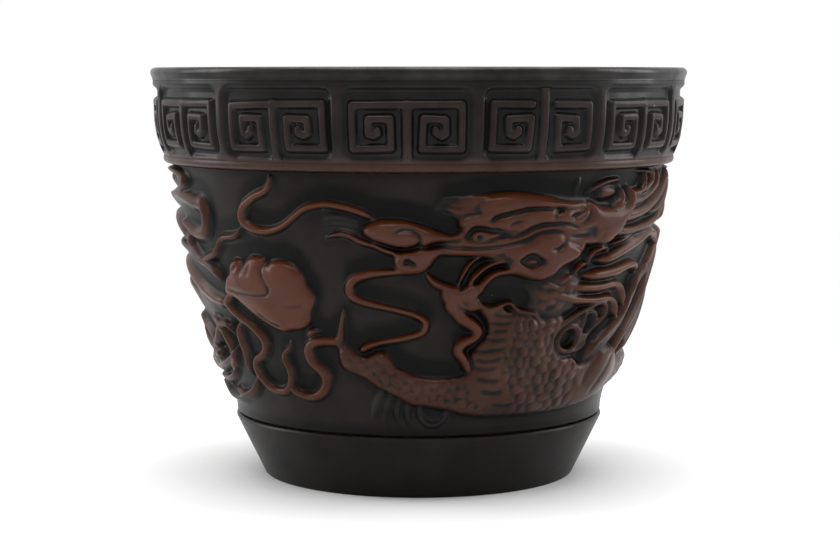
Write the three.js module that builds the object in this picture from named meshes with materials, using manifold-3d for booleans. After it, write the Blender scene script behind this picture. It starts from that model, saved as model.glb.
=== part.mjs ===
// Small drinking cup in moulded lacquer, modelled in millimetres with +Z up.
// The origin is the centre of the foot's resting plane, and the front of the cup faces -Y.
// A turned wooden core carries a thin lining inside and a ground coat outside. A rolled lip, a collar
// with a key fret, a bead and a plain foot ring are bonded round it. The dragon, its mane and the clouds
// are strips pressed in moulds and laid on the ground coat, the same group twice, half a turn apart.
import * as THREE from "three";
import { TessellateModifier } from "three/addons/modifiers/TessellateModifier.js";
import { mergeVertices } from "three/addons/utils/BufferGeometryUtils.js";
import Module from "manifold-3d";

const wasm = await Module();
wasm.setup();

// Overall size
const CUP_HEIGHT = 57;
const RIM_RADIUS = 37.5;

// Lip
const LIP_HEIGHT = 1.5;
const LIP_ROUND = 0.7;
const LIP_UNDERCUT = 40;

// Fretted collar and the bead under it, set in from the rim
const BAND_HEIGHT = 10.4;
const BAND_SET_IN = 0.2;
const BAND_TUCK = 1.5;
const BAND_BACKING = 0.7;
const BAND_SEAT_FLARE = 0.95;
const BEAD_HEIGHT = 0.8;
const BEAD_SET_IN = 1.7;
const BEAD_ROUND = 0.35;

// Key fret
const CELLS = 13;
const FIRST_CELL = -2.2;
const DIVIDER_WIDTH = 1.45;
const PANEL_TOP_BORDER = 0.9;
const PANEL_BOTTOM_BORDER = 0.45;
const PANEL_CORNER = 1.2;
const PANEL_DEPTH = 0.75;
const FRET_LINE = 1.2;
const FRET_SET_BACK = 0.1;
const FRET_ROWS = { bottom: 0.16, hook: 0.36, inner: 0.575, top: 0.765 };
const FRET_COLUMNS = { outer: 0.845, hook: 0.6, curl: 0.46, inner: 0.25 };

// Bowl
const WALL_SET_IN = 3.2;
const WALL_FLARE = 5.2;
const WALL_TURN_OUT = 1.7;
const GROUND_COAT = 0.7;
const CORE_WALL = 1.6;
const LINING_COAT = 0.7;
const CORE_FLOOR = 2.9;
const CAVITY_CORNER = 7;

// Foot
const FOOT_HEIGHT = 8.8;
const FOOT_RADIUS = 22.3;
const FOOT_EDGE_ROUND = 0.3;
const FOOT_WIDTH = 2.5;
const FOOT_SHELF = 1.5;
const LEDGE_RADIUS = 25.9;
const LEDGE_STEP = 0.1;
const LEDGE_ROUND = 0.6;
const BASE_RECESS = 3;
const BASE_DISC = 0.9;

// Clearances between bonded pieces
const BOND_GAP = 0.2;
const RELIEF_GAP = 0.25;

// Heights of the relief above its back
const STRAND_HEIGHT = 0.9;
const MANE_HEIGHT = 1.1;
const BODY_HEIGHT = 1.5;
const HEAD_HEIGHT = 1.7;
const CLOUD_HEIGHT = 1.4;
const PLATE_ROUND = 0.5;
const TIP_SHARE = 0.3;
const TIP_LENGTH = 2.5;

// How finely round surfaces and strips are faceted
const ROUND_SEGMENTS = 36;
const WALL_STEPS = 9;
const BAND_STEPS = 4;
const CORNER_STEPS = 3;
const STRIP_STEP = 3;
const RELIEF_SPAN = 5;
const FRET_SPAN = 5;
const PANEL_SPAN = 6;

// Heights that follow, from the rim down to the floor
const lipBottom = CUP_HEIGHT - LIP_HEIGHT;
const bandTop = lipBottom - BOND_GAP;
const bandBottom = bandTop - BAND_HEIGHT;
const beadTop = bandBottom - BOND_GAP;
const beadBottom = beadTop - BEAD_HEIGHT;
const wallTop = beadBottom - BOND_GAP;
const wallBottom = FOOT_HEIGHT + BOND_GAP;
const coreBottom = BASE_RECESS + BASE_DISC + 2 * BOND_GAP;
const cavityFloor = coreBottom + CORE_FLOOR + BOND_GAP + LINING_COAT;

// Radii of the bowl at a height: it is steep under the collar, draws in to the foot and turns out a
// little at the end, so that it stands almost upright on the foot's ledge
const wallTopRadius = RIM_RADIUS - WALL_SET_IN;
const wallDrawIn = wallTopRadius - WALL_FLARE + WALL_TURN_OUT - (LEDGE_RADIUS - LEDGE_STEP);
function groundRadius(z) {
  const depth = (wallTop - z) / (wallTop - wallBottom);
  return wallTopRadius - WALL_FLARE * depth - wallDrawIn * depth ** 3 + WALL_TURN_OUT * depth ** 12;
}
const coreRadius = (z) => groundRadius(z) - GROUND_COAT - BOND_GAP;
const liningCoat = LINING_COAT + BOND_GAP;
const cavityRadius = (z) => coreRadius(z) - CORE_WALL - liningCoat;

// The collar is nearly upright and tucks in at its lower edge, and its seat on the core flares with it
const bandRadius = (z) => RIM_RADIUS - BAND_SET_IN - BAND_TUCK * ((bandTop - z) / BAND_HEIGHT) ** 4;
const bandSeat = bandRadius(bandBottom) - PANEL_DEPTH - BAND_BACKING;
const seatRadius = (z) => bandSeat + (BAND_SEAT_FLARE * (z - bandBottom)) / BAND_HEIGHT;
const beadRadius = RIM_RADIUS - BEAD_SET_IN;

// The core's lower end stands in the foot, and its cover lies on the foot's inner shelf
const footInside = FOOT_RADIUS - FOOT_WIDTH;
const footSeat = footInside + FOOT_SHELF;

function evenly(from, to, steps) {
  return Array.from({ length: steps + 1 }, (_, i) => from + ((to - from) * i) / steps);
}

// Points of an arc in a turned profile, between two angles in degrees
function arc(radius, height, size, from, to, steps = CORNER_STEPS) {
  return evenly(from, to, steps).map((degrees) => {
    const angle = THREE.MathUtils.degToRad(degrees);
    return [radius + size * Math.cos(angle), height + size * Math.sin(angle)];
  });
}

// The bowl's inside as profile points from the top down to the axis, moved out by a coat's thickness
function cavity(top, coat) {
  const wall = evenly(top, cavityFloor + CAVITY_CORNER, WALL_STEPS);
  const corner = evenly(90, 0, CORNER_STEPS).map((degrees) => {
    const angle = THREE.MathUtils.degToRad(degrees);
    const rise = CAVITY_CORNER * (1 - Math.cos(angle));
    const inset = CAVITY_CORNER * (1 - Math.sin(angle));
    return [cavityRadius(cavityFloor + rise) + coat - inset, cavityFloor + rise - coat];
  });
  return [...wall.map((z) => [cavityRadius(z) + coat, z]), ...corner.slice(1), [0, cavityFloor - coat]];
}

// Solids and geometries
function solidFrom(geometry) {
  const bare = new THREE.BufferGeometry();
  bare.setAttribute("position", geometry.getAttribute("position"));
  bare.setIndex(geometry.index);
  const merged = mergeVertices(bare);
  const vertProperties = merged.getAttribute("position").array;
  const triVerts = new Uint32Array(merged.index.array);
  return new wasm.Manifold(new wasm.Mesh({ numProp: 3, vertProperties, triVerts }));
}

function geometryFrom(solid) {
  const { vertProperties, triVerts } = solid.getMesh();
  const geometry = new THREE.BufferGeometry();
  geometry.setAttribute("position", new THREE.BufferAttribute(vertProperties, 3));
  geometry.setIndex(new THREE.BufferAttribute(triVerts, 1));
  return geometry;
}

const joined = (...solids) => solids.reduce((whole, solid) => whole.add(solid));

// A turned piece from profile points [radius, height] that run up the outside and down the inside
function turned(...profile) {
  const points = profile.map(([radius, height]) => new THREE.Vector2(radius, height));
  const isRing = profile[0][0] > 0;
  if (isRing) points.push(points[0]);
  return new THREE.LatheGeometry(points, ROUND_SEGMENTS).rotateX(Math.PI / 2);
}

// Lays a flat solid, drawn in millimetres with its height along Z, on a round surface
function laidOn(radiusAt, gap, flat, span) {
  const fine = new TessellateModifier(span, 8).modify(flat);
  const place = fine.getAttribute("position");
  for (let i = 0; i < place.count; i += 1) {
    const angle = place.getX(i) / RIM_RADIUS;
    const z = place.getY(i);
    const radius = radiusAt(z) + gap + place.getZ(i);
    place.setXYZ(i, radius * Math.sin(angle), -radius * Math.cos(angle), z);
  }
  return mergeVertices(fine);
}
const millimetres = (degrees) => THREE.MathUtils.degToRad(degrees) * RIM_RADIUS;

// Core, coats and turned rings
const woodenCore = () =>
  turned(
    [0, coreBottom],
    [footSeat - BOND_GAP, coreBottom],
    ...evenly(wallBottom, wallTop, WALL_STEPS).map((z) => [coreRadius(z), z]),
    [coreRadius(beadBottom), beadBottom],
    [seatRadius(beadBottom), beadBottom],
    [seatRadius(bandTop), bandTop],
    ...cavity(bandTop, liningCoat),
  );

function innerLining() {
  const outside = cavity(bandTop, LINING_COAT).reverse();
  return turned(...outside, ...cavity(bandTop, 0));
}

function groundWall() {
  const levels = evenly(wallBottom, wallTop, WALL_STEPS);
  const inside = levels.map((z) => [groundRadius(z) - GROUND_COAT, z]).reverse();
  return turned(...levels.map((z) => [groundRadius(z), z]), ...inside);
}

const rimLip = () =>
  turned(
    [RIM_RADIUS - LIP_ROUND, lipBottom],
    ...arc(RIM_RADIUS - LIP_ROUND, CUP_HEIGHT - LIP_ROUND, LIP_ROUND, -LIP_UNDERCUT, 90),
    ...arc(cavityRadius(bandTop) + LIP_ROUND, CUP_HEIGHT - LIP_ROUND, LIP_ROUND, 90, 180),
    [cavityRadius(bandTop), lipBottom],
  );

const bandBead = () =>
  turned(
    [beadRadius - BEAD_ROUND, beadBottom],
    [beadRadius, beadBottom + BEAD_ROUND],
    [beadRadius, beadTop - BEAD_ROUND],
    [beadRadius - BEAD_ROUND, beadTop],
    [seatRadius(beadTop) + BOND_GAP, beadTop],
    [seatRadius(beadBottom) + BOND_GAP, beadBottom],
  );

const footRing = () =>
  turned(
    [FOOT_RADIUS - FOOT_EDGE_ROUND, 0],
    [FOOT_RADIUS, FOOT_EDGE_ROUND],
    [LEDGE_RADIUS, FOOT_HEIGHT - LEDGE_ROUND],
    [LEDGE_RADIUS - LEDGE_ROUND / 2, FOOT_HEIGHT],
    [coreRadius(wallBottom) + BOND_GAP, FOOT_HEIGHT],
    [footSeat, coreBottom],
    [footSeat, BASE_RECESS],
    [footInside, BASE_RECESS],
    [footInside, 0],
  );

function baseDisc() {
  const bottom = BASE_RECESS + BOND_GAP;
  const radius = footSeat - 2 * BOND_GAP;
  return turned([0, bottom], [radius, bottom], [radius, bottom + BASE_DISC], [0, bottom + BASE_DISC]);
}

// Key fret: one recessed panel and one double scroll, each repeated round the collar
const cellAngle = (2 * Math.PI) / CELLS;
const panelHalf = (RIM_RADIUS * cellAngle - DIVIDER_WIDTH) / 2;
const panelTop = bandTop - PANEL_TOP_BORDER;
const panelBottom = bandBottom + PANEL_BOTTOM_BORDER;
const cellTurn = (cell) => THREE.MathUtils.degToRad(FIRST_CELL) + cell * cellAngle;

function panelSolid() {
  const corners = [
    [panelHalf - PANEL_CORNER, panelTop - PANEL_CORNER],
    [PANEL_CORNER - panelHalf, panelTop - PANEL_CORNER],
    [PANEL_CORNER - panelHalf, panelBottom + PANEL_CORNER],
    [panelHalf - PANEL_CORNER, panelBottom + PANEL_CORNER],
  ];
  const outline = new THREE.Shape();
  corners.forEach(([x, z], i) => {
    outline.absarc(x, z, PANEL_CORNER, (i * Math.PI) / 2, ((i + 1) * Math.PI) / 2);
  });
  const cut = { depth: 2 * PANEL_DEPTH, bevelEnabled: false, curveSegments: 2 };
  return laidOn(bandRadius, -PANEL_DEPTH, new THREE.ExtrudeGeometry(outline, cut), PANEL_SPAN);
}

function fretBand() {
  const levels = evenly(bandBottom, bandTop, BAND_STEPS);
  const ring = turned(
    ...levels.map((z) => [bandRadius(z), z]),
    [seatRadius(bandTop) + BOND_GAP, bandTop],
    [seatRadius(bandBottom) + BOND_GAP, bandBottom],
  );
  const panel = panelSolid();
  let band = solidFrom(ring);
  for (let cell = 0; cell < CELLS; cell += 1) {
    band = band.subtract(solidFrom(panel.clone().rotateZ(cellTurn(cell))));
  }
  return geometryFrom(band);
}

// A bar of even width that follows corner points, with mitred corners
function bar(corners) {
  const points = corners.map(([x, z]) => new THREE.Vector2(x, z));
  const sides = points.map((point, i) => {
    const before = point.clone().sub(points[Math.max(i - 1, 0)]);
    const after = points[Math.min(i + 1, points.length - 1)].clone().sub(point);
    const across = [before, after].filter((leg) => leg.length() > 0).map((leg) => leg.normalize());
    const normals = across.map((leg) => new THREE.Vector2(-leg.y, leg.x));
    const mitre = normals[0].clone().add(normals[normals.length - 1]);
    return mitre.multiplyScalar(FRET_LINE / mitre.lengthSq());
  });
  const left = points.map((point, i) => point.clone().add(sides[i]));
  const right = points.map((point, i) => point.clone().sub(sides[i])).reverse();
  const depth = PANEL_DEPTH - RELIEF_GAP - FRET_SET_BACK;
  return solidFrom(new THREE.ExtrudeGeometry(new THREE.Shape([...left, ...right]), { depth, bevelEnabled: false }));
}

function fretScroll() {
  const row = (name) => panelBottom + FRET_ROWS[name] * (panelTop - panelBottom);
  const scroll = (side) =>
    bar([
      [0, row("top")],
      [side * FRET_COLUMNS.outer * panelHalf, row("top")],
      [side * FRET_COLUMNS.outer * panelHalf, row("bottom")],
      [side * FRET_COLUMNS.inner * panelHalf, row("bottom")],
      [side * FRET_COLUMNS.inner * panelHalf, row("inner")],
      [side * FRET_COLUMNS.hook * panelHalf, row("inner")],
      [side * FRET_COLUMNS.hook * panelHalf, row("hook")],
      [side * FRET_COLUMNS.curl * panelHalf, row("hook")],
    ]);
  const stem = bar([[0, row("top")], [0, panelBottom + RELIEF_GAP]]);
  const flat = geometryFrom(joined(scroll(-1), scroll(1), stem));
  return laidOn(bandRadius, RELIEF_GAP - PANEL_DEPTH, flat, FRET_SPAN);
}

// Relief on the bowl. It is drawn on a sheet that gives degrees round the cup and millimetres above the
// foot's plane, between the foot's ledge and the bead, and it stretches with the wall's height.
const SHEET_BOTTOM = 9;
const SHEET_TOP = 43.7;
const sheetStretch = (wallTop - wallBottom) / (SHEET_TOP - SHEET_BOTTOM);
const sheetZ = (z) => wallBottom + (z - SHEET_BOTTOM) * sheetStretch;

const strandSection = new THREE.Shape([
  new THREE.Vector2(-1, 0),
  new THREE.Vector2(1, 0),
  new THREE.Vector2(0.8, 0.7),
  new THREE.Vector2(0, 1),
  new THREE.Vector2(-0.8, 0.7),
]);

// A moulded strip with a domed section that follows a smooth line and narrows at both tips
function strand(height, startWidth, endWidth, ...points) {
  const line = new THREE.SplineCurve(points.map(([a, z]) => new THREE.Vector2(millimetres(a), sheetZ(z))));
  const length = line.getLength();
  const steps = Math.max(3, Math.round(length / STRIP_STEP));
  const strip = new THREE.ExtrudeGeometry(strandSection, { depth: 1, steps, bevelEnabled: false });
  const place = strip.getAttribute("position");
  for (let i = 0; i < place.count; i += 1) {
    const along = place.getZ(i);
    const centre = line.getPointAt(along);
    const heading = line.getTangentAt(along);
    const nearest = Math.min(along, 1 - along) * length;
    const swell = Math.min(1, TIP_SHARE + ((1 - TIP_SHARE) * nearest) / TIP_LENGTH);
    const width = THREE.MathUtils.lerp(startWidth, endWidth, along) * sheetStretch;
    const across = (place.getX(i) * swell * width) / 2;
    const x = centre.x - heading.y * across;
    const y = centre.y + heading.x * across;
    place.setXYZ(i, x, y, place.getY(i) * height * swell);
  }
  return solidFrom(strip);
}

// A moulded plate with a smooth outline, a flat back and a rounded front edge
function plate(height, ...points) {
  const rim = new THREE.CatmullRomCurve3(
    points.map(([a, z]) => new THREE.Vector3(millimetres(a), sheetZ(z), 0)),
    true,
  );
  const outline = new THREE.Shape(rim.getPoints(points.length * 2).slice(1));
  const pressed = new THREE.ExtrudeGeometry(outline, {
    depth: height - PLATE_ROUND,
    bevelThickness: PLATE_ROUND,
    bevelSize: PLATE_ROUND,
    bevelOffset: -PLATE_ROUND,
    bevelSegments: 1,
  });
  const place = pressed.getAttribute("position");
  for (let i = 0; i < place.count; i += 1) place.setZ(i, Math.max(0, place.getZ(i)));
  return solidFrom(pressed);
}

const dragonHead = () =>
  joined(
    plate(
      HEAD_HEIGHT,
      [4.4, 39.4], [9, 41], [20, 41.5], [30, 41.3], [39, 40], [46, 39.3], [50, 39.4], [53, 40], [53.4, 38.4],
      [51.5, 36.4], [48, 34.9], [44, 34.2], [40, 32.6], [36, 31.9], [30, 32.2], [24, 33.2], [16, 33],
      [9, 33.4], [5.6, 35], [4.6, 37.2],
    ),
    plate(
      HEAD_HEIGHT,
      [-12, 36.2], [-10, 37.5], [-5, 38.1], [1, 37.6], [8, 37.4], [11, 35.6], [8.6, 33.4], [3.6, 31.8],
      [-2, 31.2], [-6, 31.9], [-8, 33.6], [-10.6, 35],
    ),
    strand(MANE_HEIGHT, 1.8, 1, [36, 38.8], [40, 41], [45, 42.2], [50, 42.4], [54.5, 41.4], [52, 39.6]),
    strand(MANE_HEIGHT, 1.4, 1, [50, 40], [57, 40.4], [63, 41.1], [64.6, 42.2], [61, 43]),
    strand(STRAND_HEIGHT, 1.6, 0.9, [-9, 36.6], [-14, 37.3], [-21, 37.6]),
    strand(STRAND_HEIGHT, 1.4, 0.8, [-7, 34], [-13, 35.5], [-20, 35.4]),
  );

function dragonBody() {
  const fins = [
    [[-8, 15.5], [-11, 13.5], [-13.5, 11.6]],
    [[-5, 14.5], [-8, 12.6], [-10, 11]],
    [[-3, 14], [-5.2, 12.2], [-6.2, 10.4]],
    [[0, 14], [-2, 12.2], [-3, 10.6]],
    [[10, 13.2], [6.6, 11.2], [3, 10.8], [0.6, 11.8]],
  ].map((points) => strand(STRAND_HEIGHT, 1.5, 0.9, ...points));
  return joined(
    plate(
      BODY_HEIGHT,
      [-20.4, 20.4], [-16, 20.8], [-9, 20.4], [-6.5, 19.1], [-3, 17.9], [2, 17.1], [12, 17.3], [13.6, 19],
      [14.4, 20.4], [17.6, 21.4], [19, 23.2], [18, 25], [16, 26.4], [20, 26.9], [27, 25.6], [31, 25],
      [33, 22.6], [34.4, 19.6], [40, 18.7], [50, 18.2], [62, 18], [64, 15.6], [62, 12.2], [50, 11.1],
      [38, 10.7], [26, 10.9], [14, 11.4], [2, 12], [-5, 13.2], [-12, 15.4], [-16, 16.8], [-20, 17.8],
    ),
    strand(MANE_HEIGHT, 2, 0.8, [-19, 18.5], [-19.4, 21.5], [-18, 25.2]),
    ...fins,
  );
}

const bodyCoil = () =>
  joined(
    strand(BODY_HEIGHT, 6.4, 3, [66.4, 15.2], [76, 15.2], [88, 14.8], [98, 15], [108, 16.4]),
    strand(MANE_HEIGHT, 1.8, 1, [102, 16.4], [110, 18.4], [117, 21], [122, 22.4], [125.6, 21.4]),
    strand(MANE_HEIGHT, 1.6, 0.9, [102, 15.8], [112, 16.6], [119, 17.6], [124, 19]),
    strand(MANE_HEIGHT, 1.6, 0.9, [98, 14.4], [108, 12.2], [118, 12.2], [127, 13.6]),
  );

const flameStrand = () =>
  joined(
    strand(MANE_HEIGHT, 1.4, 1.2, [-44, 36], [-50, 34.6], [-55, 32.6], [-62, 31.6], [-72, 32.2], [-86, 35]),
    strand(
      MANE_HEIGHT, 1.4, 1.2,
      [-86, 34.6], [-80, 38], [-70, 38.6], [-61, 38.8], [-57.6, 37.4], [-60, 35.6], [-67, 35.2],
    ),
  );

const RELIEF = {
  dragon_head: dragonHead,
  dragon_body: dragonBody,
  lower_jaw: () => strand(1.5, 1.6, 2, [2.5, 30.1], [7, 29.2], [13, 29.1], [20, 30.2], [29, 29.4]),
  upper_whisker: () =>
    strand(
      STRAND_HEIGHT, 0.9, 0.9,
      [-33.5, 42.6], [-34.4, 41.3], [-39, 40.2], [-43.2, 38.4], [-42, 36.4], [-37, 35.9], [-32, 36.4],
      [-28, 38], [-22, 39.7], [-15.5, 39.5],
    ),
  lower_whisker: () =>
    strand(
      STRAND_HEIGHT, 0.8, 0.9,
      [-3.4, 30.2], [-9, 30.8], [-15.8, 29.3], [-14, 27.3], [-5, 26.1], [1.6, 24.9], [-1, 22.9],
      [-8, 22.2], [-13.5, 21.8],
    ),
  beard: () => strand(1.2, 1.7, 1.2, [5.5, 27.2], [11, 26], [15.2, 23.9], [11.4, 21.9], [9.8, 20], [10.6, 18.6]),
  mane_strand_1: () =>
    joined(
      strand(MANE_HEIGHT, 2, 1.2, [55.6, 38], [61, 37.7], [69, 38.3], [78, 39.1], [87, 39]),
      strand(MANE_HEIGHT, 1.2, 1, [57, 38.2], [64, 39.6], [73, 40.8], [84, 41.6]),
    ),
  mane_strand_2: () => strand(MANE_HEIGHT, 1.8, 1.2, [52.4, 35.4], [60, 35.5], [70, 36], [80, 36.6], [90, 36]),
  mane_strand_3: () =>
    strand(MANE_HEIGHT, 1.8, 1.2, [43.4, 32.5], [51, 32.6], [60, 33.2], [68, 34.1], [77, 34.2], [84, 33.4]),
  mane_strand_4: () => strand(MANE_HEIGHT, 1.4, 1, [39.6, 30.4], [47, 30.2], [56, 30.3], [66, 31.6], [78, 31.6]),
  mane_strand_5: () => strand(MANE_HEIGHT, 1.4, 1, [36.6, 28.9], [46, 28.3], [54, 28.2], [60, 26.6], [63, 24.8]),
  mane_strand_6: () => strand(MANE_HEIGHT, 1.3, 1, [34, 27], [42, 26.6], [50, 26.6], [56, 25.2], [59, 23.4]),
  mane_sweep: () =>
    strand(MANE_HEIGHT, 1.4, 2, [49, 19.6], [56, 20.9], [62, 22.6], [66, 26.2], [71, 29], [80, 28.8], [86, 27]),
  loop_curl: () => strand(1.1, 1.1, 1.1, [44.4, 24.2], [38.4, 23.6], [37.4, 21.2], [41, 20.2], [45.5, 21.8]),
  body_coil: bodyCoil,
  flame_strand: flameStrand,
  cloud: () =>
    plate(
      CLOUD_HEIGHT,
      [-53, 27.8], [-50.5, 30.4], [-46.5, 31.9], [-41.5, 32.8], [-37, 31.7], [-31, 32], [-28, 29.6],
      [-25.2, 27.2], [-27.4, 24], [-34.5, 22.8], [-41, 23.6], [-46, 25.4],
    ),
  cloud_tail_upper: () =>
    strand(
      STRAND_HEIGHT, 1.7, 1.5,
      [-57, 27.5], [-54.8, 25.2], [-47, 22.3], [-42.4, 20], [-49, 17.6], [-48.6, 15], [-42, 13.9],
      [-37.2, 15.4], [-37, 18], [-33.4, 20.6],
    ),
  cloud_tail_lower: () =>
    strand(
      STRAND_HEIGHT, 1.4, 1.4,
      [-34.6, 14], [-29, 13.6], [-24.6, 15.6], [-27.6, 18.6], [-27.4, 21], [-22.6, 21.9],
    ),
};

// Finishes
const finish = (color, roughness) => new THREE.MeshStandardMaterial({ color, roughness, metalness: 0 });
const blackLacquer = finish(0x1b1818, 0.4);
const fretLacquer = finish(0x2a2221, 0.4);
const beadLacquer = finish(0x5a322a, 0.4);
const reliefLacquer = finish(0x4b2a23, 0.4);
const coreWood = finish(0x8a6a48, 0.8);

// Assembly
const cup = new THREE.Group();
function add(name, geometry, material, turn = 0) {
  const mesh = new THREE.Mesh(geometry, material);
  mesh.name = name;
  mesh.rotation.z = turn;
  cup.add(mesh);
}

add("wooden_core", woodenCore(), coreWood);
add("inner_lining", innerLining(), blackLacquer);
add("ground_wall", groundWall(), blackLacquer);
add("rim_lip", rimLip(), blackLacquer);
add("fret_band", fretBand(), fretLacquer);
add("band_bead", bandBead(), beadLacquer);
add("foot_ring", footRing(), blackLacquer);
add("base_disc", baseDisc(), blackLacquer);

const scroll = fretScroll();
for (let cell = 0; cell < CELLS; cell += 1) {
  add(`fret_scroll_${String(cell + 1).padStart(2, "0")}`, scroll, fretLacquer, cellTurn(cell));
}

for (const [name, make] of Object.entries(RELIEF)) {
  const laid = laidOn(groundRadius, RELIEF_GAP, geometryFrom(make()), RELIEF_SPAN);
  add(`${name}_front`, laid, reliefLacquer);
  add(`${name}_back`, laid, reliefLacquer, Math.PI);
}

export default cup;
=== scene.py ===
import math

import bpy
import numpy as np
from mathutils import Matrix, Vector


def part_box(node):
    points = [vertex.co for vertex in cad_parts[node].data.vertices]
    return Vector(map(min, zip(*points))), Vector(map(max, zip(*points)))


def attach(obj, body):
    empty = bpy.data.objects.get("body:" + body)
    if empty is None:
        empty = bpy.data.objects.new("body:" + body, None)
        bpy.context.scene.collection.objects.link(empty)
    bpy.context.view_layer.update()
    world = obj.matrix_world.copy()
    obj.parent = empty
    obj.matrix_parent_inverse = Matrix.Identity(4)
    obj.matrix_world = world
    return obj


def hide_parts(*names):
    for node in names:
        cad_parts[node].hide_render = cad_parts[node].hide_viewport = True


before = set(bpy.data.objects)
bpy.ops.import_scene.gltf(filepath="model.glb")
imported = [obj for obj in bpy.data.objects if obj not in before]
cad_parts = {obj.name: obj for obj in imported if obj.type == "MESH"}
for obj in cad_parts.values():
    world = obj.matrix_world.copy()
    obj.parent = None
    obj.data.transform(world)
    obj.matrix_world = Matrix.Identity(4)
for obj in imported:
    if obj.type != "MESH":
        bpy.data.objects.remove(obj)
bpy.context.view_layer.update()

# The cup is drawn in millimetres and placed in metres
MM = 0.001

# Corners this near in height, in millimetres, belong to one ring of a turned CAD piece
SAME_LEVEL = 0.02

# Added where a length that may be zero divides
TINY = 1e-12


# Sizes from the frame
def rings(node):
    """A turned CAD piece's levels, and its corners' radii at each of them, in millimetres."""
    points = np.array([v.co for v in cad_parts[node].data.vertices]) / MM
    radius = np.hypot(points[:, 0], points[:, 1])
    levels = np.unique(np.round(points[:, 2], 2))
    return levels, [radius[abs(points[:, 2] - z) < SAME_LEVEL] for z in levels]


def outer_levels(node):
    """A turned CAD piece's outer radius at each of its levels."""
    levels, radii = rings(node)
    return levels, np.array([ring.max() for ring in radii])


def inner_radius(node, z):
    """The inner radius of a hollow turned CAD piece at a height."""
    levels, radii = rings(node)
    return float(np.interp(z, levels, [ring.min() for ring in radii]))


def side_curve(node, powers):
    """A turned CAD piece's outer radius at any height, as a sum of powers of the depth below its top."""
    levels, radii = outer_levels(node)
    top, tall = levels.max(), np.ptp(levels)

    def terms(z):
        depth = (top - np.asarray(z, float)) / tall
        return np.stack([depth**power for power in powers], -1)

    shape = np.linalg.lstsq(terms(levels), radii, rcond=None)[0]
    return lambda z: terms(z) @ shape


def low_z(node):
    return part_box(node)[0].z / MM


def high_z(node):
    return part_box(node)[1].z / MM


RIM_Z = high_z("rim_lip")
RIM_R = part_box("rim_lip")[1].x / MM
LIP_LOW = low_z("rim_lip")
BAND_LOW, BAND_HIGH = low_z("fret_band"), high_z("fret_band")
BEAD_LOW = low_z("band_bead")
BEAD_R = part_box("band_bead")[1].x / MM
WALL_LOW, WALL_HIGH = low_z("ground_wall"), high_z("ground_wall")
LEDGE_Z = high_z("foot_ring")
LEDGE_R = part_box("foot_ring")[1].x / MM
FOOT_R = outer_levels("foot_ring")[1][0]
RECESS_Z = low_z("base_disc")
RECESS_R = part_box("base_disc")[1].x / MM

ground_radius = side_curve("ground_wall", (0, 1, 3, 12))
band_radius = side_curve("fret_band", (0, 4))

# The ground coat's thickness, and how deep the relief's back sits in it
GROUND_COAT = 0.7
SUNK = 0.35


# Height fields
class Sheet:
    """A patch of the cup's side as a grid of angles and heights, with distances in millimetres."""

    def __init__(self, start, end, columns, low, high, rows, radius):
        self.angle = np.radians(np.linspace(start, end, columns + 1))
        self.z = np.linspace(low, high, rows + 1)
        self.radius = radius(self.z)
        slope = np.gradient(self.radius, self.z)
        self.slant = np.sqrt(1 + slope * slope)
        self.shape = (rows + 1, columns + 1)

    def empty(self, value):
        return np.full(self.shape, float(value))

    def window(self, points, reach):
        """The part of the grid within reach of some points, given as angle and height."""
        low, high = points.min(0), points.max(0)
        wide = reach / self.radius.min()
        columns = slice(*np.searchsorted(self.angle, [low[0] - wide, high[0] + wide]))
        rows = slice(*np.searchsorted(self.z, [low[1] - reach, high[1] + reach]))
        return rows, columns

    def distance(self, line, reach, block=24):
        """Distance to a line and the share along it, where the line is nearer than reach.

        The line is worked through in blocks of that many legs, each on its own window of the grid.
        """
        near, along = self.empty(reach), self.empty(0)
        count = len(line) - 1
        pick = np.take_along_axis
        for first in range(0, count, block):
            last = min(first + block, count)
            part = line[first : last + 1]
            rows, columns = self.window(part, reach)
            scale = self.radius[rows, None, None]
            slant = self.slant[rows, None, None]
            x = (self.angle[None, columns, None] - part[None, None, :-1, 0]) * scale
            y = (self.z[rows, None, None] - part[None, None, :-1, 1]) * slant
            leg_x = (part[1:, 0] - part[:-1, 0])[None, None, :] * scale
            leg_y = (part[1:, 1] - part[:-1, 1])[None, None, :] * slant
            share = np.clip((x * leg_x + y * leg_y) / (leg_x**2 + leg_y**2 + TINY), 0, 1)
            gap = np.hypot(x - share * leg_x, y - share * leg_y)
            best = gap.argmin(2)
            gap = pick(gap, best[..., None], 2)[..., 0]
            where = (first + best + pick(share, best[..., None], 2)[..., 0]) / count
            closer = gap < near[rows, columns]
            near[rows, columns] = np.where(closer, gap, near[rows, columns])
            along[rows, columns] = np.where(closer, where, along[rows, columns])
        return near, along

    def inside(self, outline):
        """Where the grid lies inside a closed outline."""
        odd = np.zeros(self.shape, bool)
        rows, columns = self.window(outline, 0.5)
        x, y = self.angle[None, columns], self.z[rows, None]
        part = np.zeros(odd[rows, columns].shape, bool)
        for (x0, y0), (x1, y1) in zip(outline, np.roll(outline, -1, 0)):
            if y0 == y1:
                continue
            crosses = (y0 > y) != (y1 > y)
            part ^= crosses & (x < x0 + (y - y0) * (x1 - x0) / (y1 - y0))
        odd[rows, columns] = part
        return odd


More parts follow.
